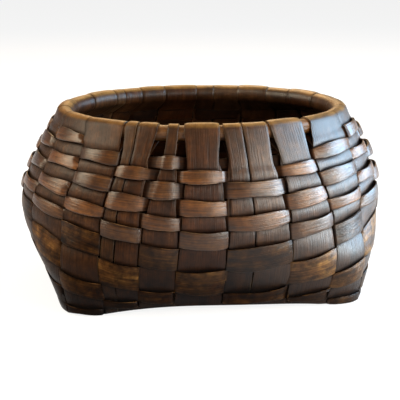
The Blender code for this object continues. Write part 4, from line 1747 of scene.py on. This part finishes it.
@dataclass
class Studio:
    """Pale floor, soft lights and the camera."""

    camera_place: tuple[float, float, float] = (-0.1526, -1.0474, 0.3304)
    aim: tuple[float, float, float] = (0.0, 0.0, 0.0677)
    focal_share: float = 1271.7 / 400
    sensor: float = 36.0
    world_level: float = 0.12
    floor_half: float = 9.0
    floor_glow: float = 0.84

    LAMPS = (
        Lamp("window_light", (1.28, 0.08, 0.50), (0.0, 0.0, 0.07), 0.85, 44.0, "#b4daf8"),
        Lamp("window_edge_light", (0.70, -1.00, 0.28), (0.0, 0.0, 0.08), 0.42, 13.5, "#e6e4d8"),
        Lamp("low_window_light", (1.05, -0.40, 0.13), (0.12, -0.05, 0.03), 0.4, 20.0,
             "#dce8ee"),
        Lamp("top_back_light", (0.05, 1.10, 1.05), (0.0, 0.0, 0.13), 0.7, 13.5, "#ffd7a0"),
        Lamp("front_key", (0.10, -1.30, 1.20), (0.0, 0.0, 0.08), 0.6, 6.9, "#ffd094"),
        Lamp("left_room_light", (-1.20, 0.00, 0.85), (0.0, 0.0, 0.10), 0.8, 20.0, "#fff0d2"))

    def build(self) -> None:
        """Set up the floor, the lights, the world and the camera."""
        self._floor()
        for lamp in self.LAMPS:
            data = bpy.data.lights.new(lamp.name, "AREA")
            data.shape, data.size, data.energy = "SQUARE", lamp.size, lamp.watts
            data.color = linear_colour(lamp.colour)[:3]
            self._aim(add_object(lamp.name, data), lamp.place, lamp.target)
        self._world()
        self._camera()

    def _floor(self) -> None:
        """A white floor that keeps the object's shadow."""
        half = self.floor_half
        mesh = bpy.data.meshes.new("floor")
        mesh.from_pydata([(-half, -half, 0), (half, -half, 0), (half, half, 0),
                          (-half, half, 0)], [], [(0, 1, 2, 3)])
        floor = add_object("floor", mesh)
        # White paper: matt and even, and bright to the camera so that it reads as no ground.
        material = bpy.data.materials.new("white_paper")
        material.use_nodes = True
        tree = material.node_tree
        tree.nodes.clear()
        rays = add_node(tree, "ShaderNodeLightPath").outputs
        seen = rays["Is Camera Ray"]
        for ray in ("Is Glossy Ray", "Is Transmission Ray"):
            seen = add_node(tree, "ShaderNodeMath", {0: seen, 1: rays[ray]}, operation="ADD",
                            use_clamp=True)
        glow = add_node(tree, "ShaderNodeMath", {0: seen, 1: self.floor_glow},
                        operation="MULTIPLY")
        shader = add_node(tree, "ShaderNodeBsdfPrincipled",
                          {"Base Color": linear_colour("#8a8a8a"), "Roughness": 1.0,
                           "Specular IOR Level": 0.0, "Emission Color": (1.0, 1.0, 1.0, 1.0),
                           "Emission Strength": glow})
        add_node(tree, "ShaderNodeOutputMaterial", {"Surface": shader})
        mesh.materials.append(material)

    @staticmethod
    def _aim(item: bpy.types.Object, place: Sequence[float], target: Sequence[float]) -> None:
        """Put a light or the camera in its place and point it at a target.

        Args:
            item: The light or the camera.
            place: Its place.
            target: The target.
        """
        item.location = place
        way = Vector(target) - Vector(place)
        item.rotation_euler = way.to_track_quat("-Z", "Y").to_euler()

    def _world(self) -> None:
        """An even pale surrounding."""
        world = bpy.data.worlds.new("pale_room")
        bpy.context.scene.world = world
        world.use_nodes = True
        shade = world.node_tree.nodes["Background"]
        shade.inputs["Color"].default_value = (1.0, 1.0, 1.0, 1.0)
        shade.inputs["Strength"].default_value = self.world_level

    def _camera(self) -> None:
        """Place the camera as it stood for the photograph."""
        data = bpy.data.cameras.new("photo_camera")
        data.sensor_width = self.sensor
        data.lens = self.focal_share * self.sensor
        item = add_object("photo_camera", data)
        self._aim(item, self.camera_place, self.aim)
        bpy.context.scene.camera = item


# Split ash with a dull, dusty varnish: grey brown, with a broad pale sheen at the window side.
UPRIGHT_FINISH = SplintFinish("ash_splint_dull_varnish", dark="#2e1e11", middle="#50341f",
                              light="#714f33", pore="#2a1c12", edge="#8c7456",
                              roughness=0.42, rough_spread=0.08, coat=0.80,
                              coat_roughness=0.40, dull_gloss=0.35,
                              specular=0.10, contrast=0.28,
                              streak_width=0.0080, blotch=0.011, mottle_depth=0.22)
# Split ash with its varnish still whole: red brown, streaked, with tight bright highlights.
WEAVER_FINISH = SplintFinish("ash_splint_glossy_varnish", dark="#332112", middle="#614222",
                             light="#8a6336", pore="#2a170d", edge="#a8865c",
                             roughness=0.36, rough_spread=0.08, coat=0.85,
                             dull_gloss=0.75, specular=0.15,
                             contrast=0.44, grain_width=0.0009, streak_width=0.0060,
                             streak_length=0.090, pore_share=0.40, mottle_depth=0.20)
# The same ash low on the wall, where dirt lies in it: mottled black and tan, hardly glossy.
LOW_FINISH = SplintFinish("ash_splint_grimy_varnish", dark="#27190e", middle="#66482a",
                          light="#9c794b", pore="#2a170d", edge="#94693c", specular=0.05,
                          roughness=0.40, rough_spread=0.08, coat=0.55, contrast=0.40,
                          grain_width=0.0009, streak_width=0.0070, pore_share=0.40,
                          reach=0.13, mottle=0.0065, mottle_depth=0.55)
# A whittled hardwood hoop, kept from light and hands by the folds: plain satin brown.
ROD_FINISH = SplintFinish("whittled_rod_varnish", dark="#402713", middle="#5e3d20",
                          light="#7a542e", pore="#34200f", edge="#845730",
                          roughness=0.42, rough_spread=0.06, coat=0.15, rim_wear_and_highlight=0.3)


def main() -> None:
    """Build the basket and the studio, and put each piece under the root body in place of its
    part.
    """
    logging.basicConfig(level=logging.INFO, format="%(name)s: %(message)s")
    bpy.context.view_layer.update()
    scene = bpy.context.scene
    scene.view_settings.view_transform = "Standard"
    plan = WeavePlan(BasketForm())
    maker = SplintMaker(SplintTree())
    uprights = UprightSplints(plan, maker, UPRIGHT_FINISH.make())
    weavers = WeaverSplints(plan, maker, WEAVER_FINISH.make(), LOW_FINISH.make())
    hoop = RimHoop(plan, ROD_FINISH.make())
    for group, slot in ((uprights, "upright_splint"), (weavers, "weaver_splint"),
                        (hoop, "rim_rod")):
        for piece, node in group.build():
            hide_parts(node)
            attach(piece, "root")
            LOG.info("%s replaces %s with %d faces", piece.name, node,
                     len(piece.data.polygons))
    Studio().build()


if __name__ == "__main__":
    main()
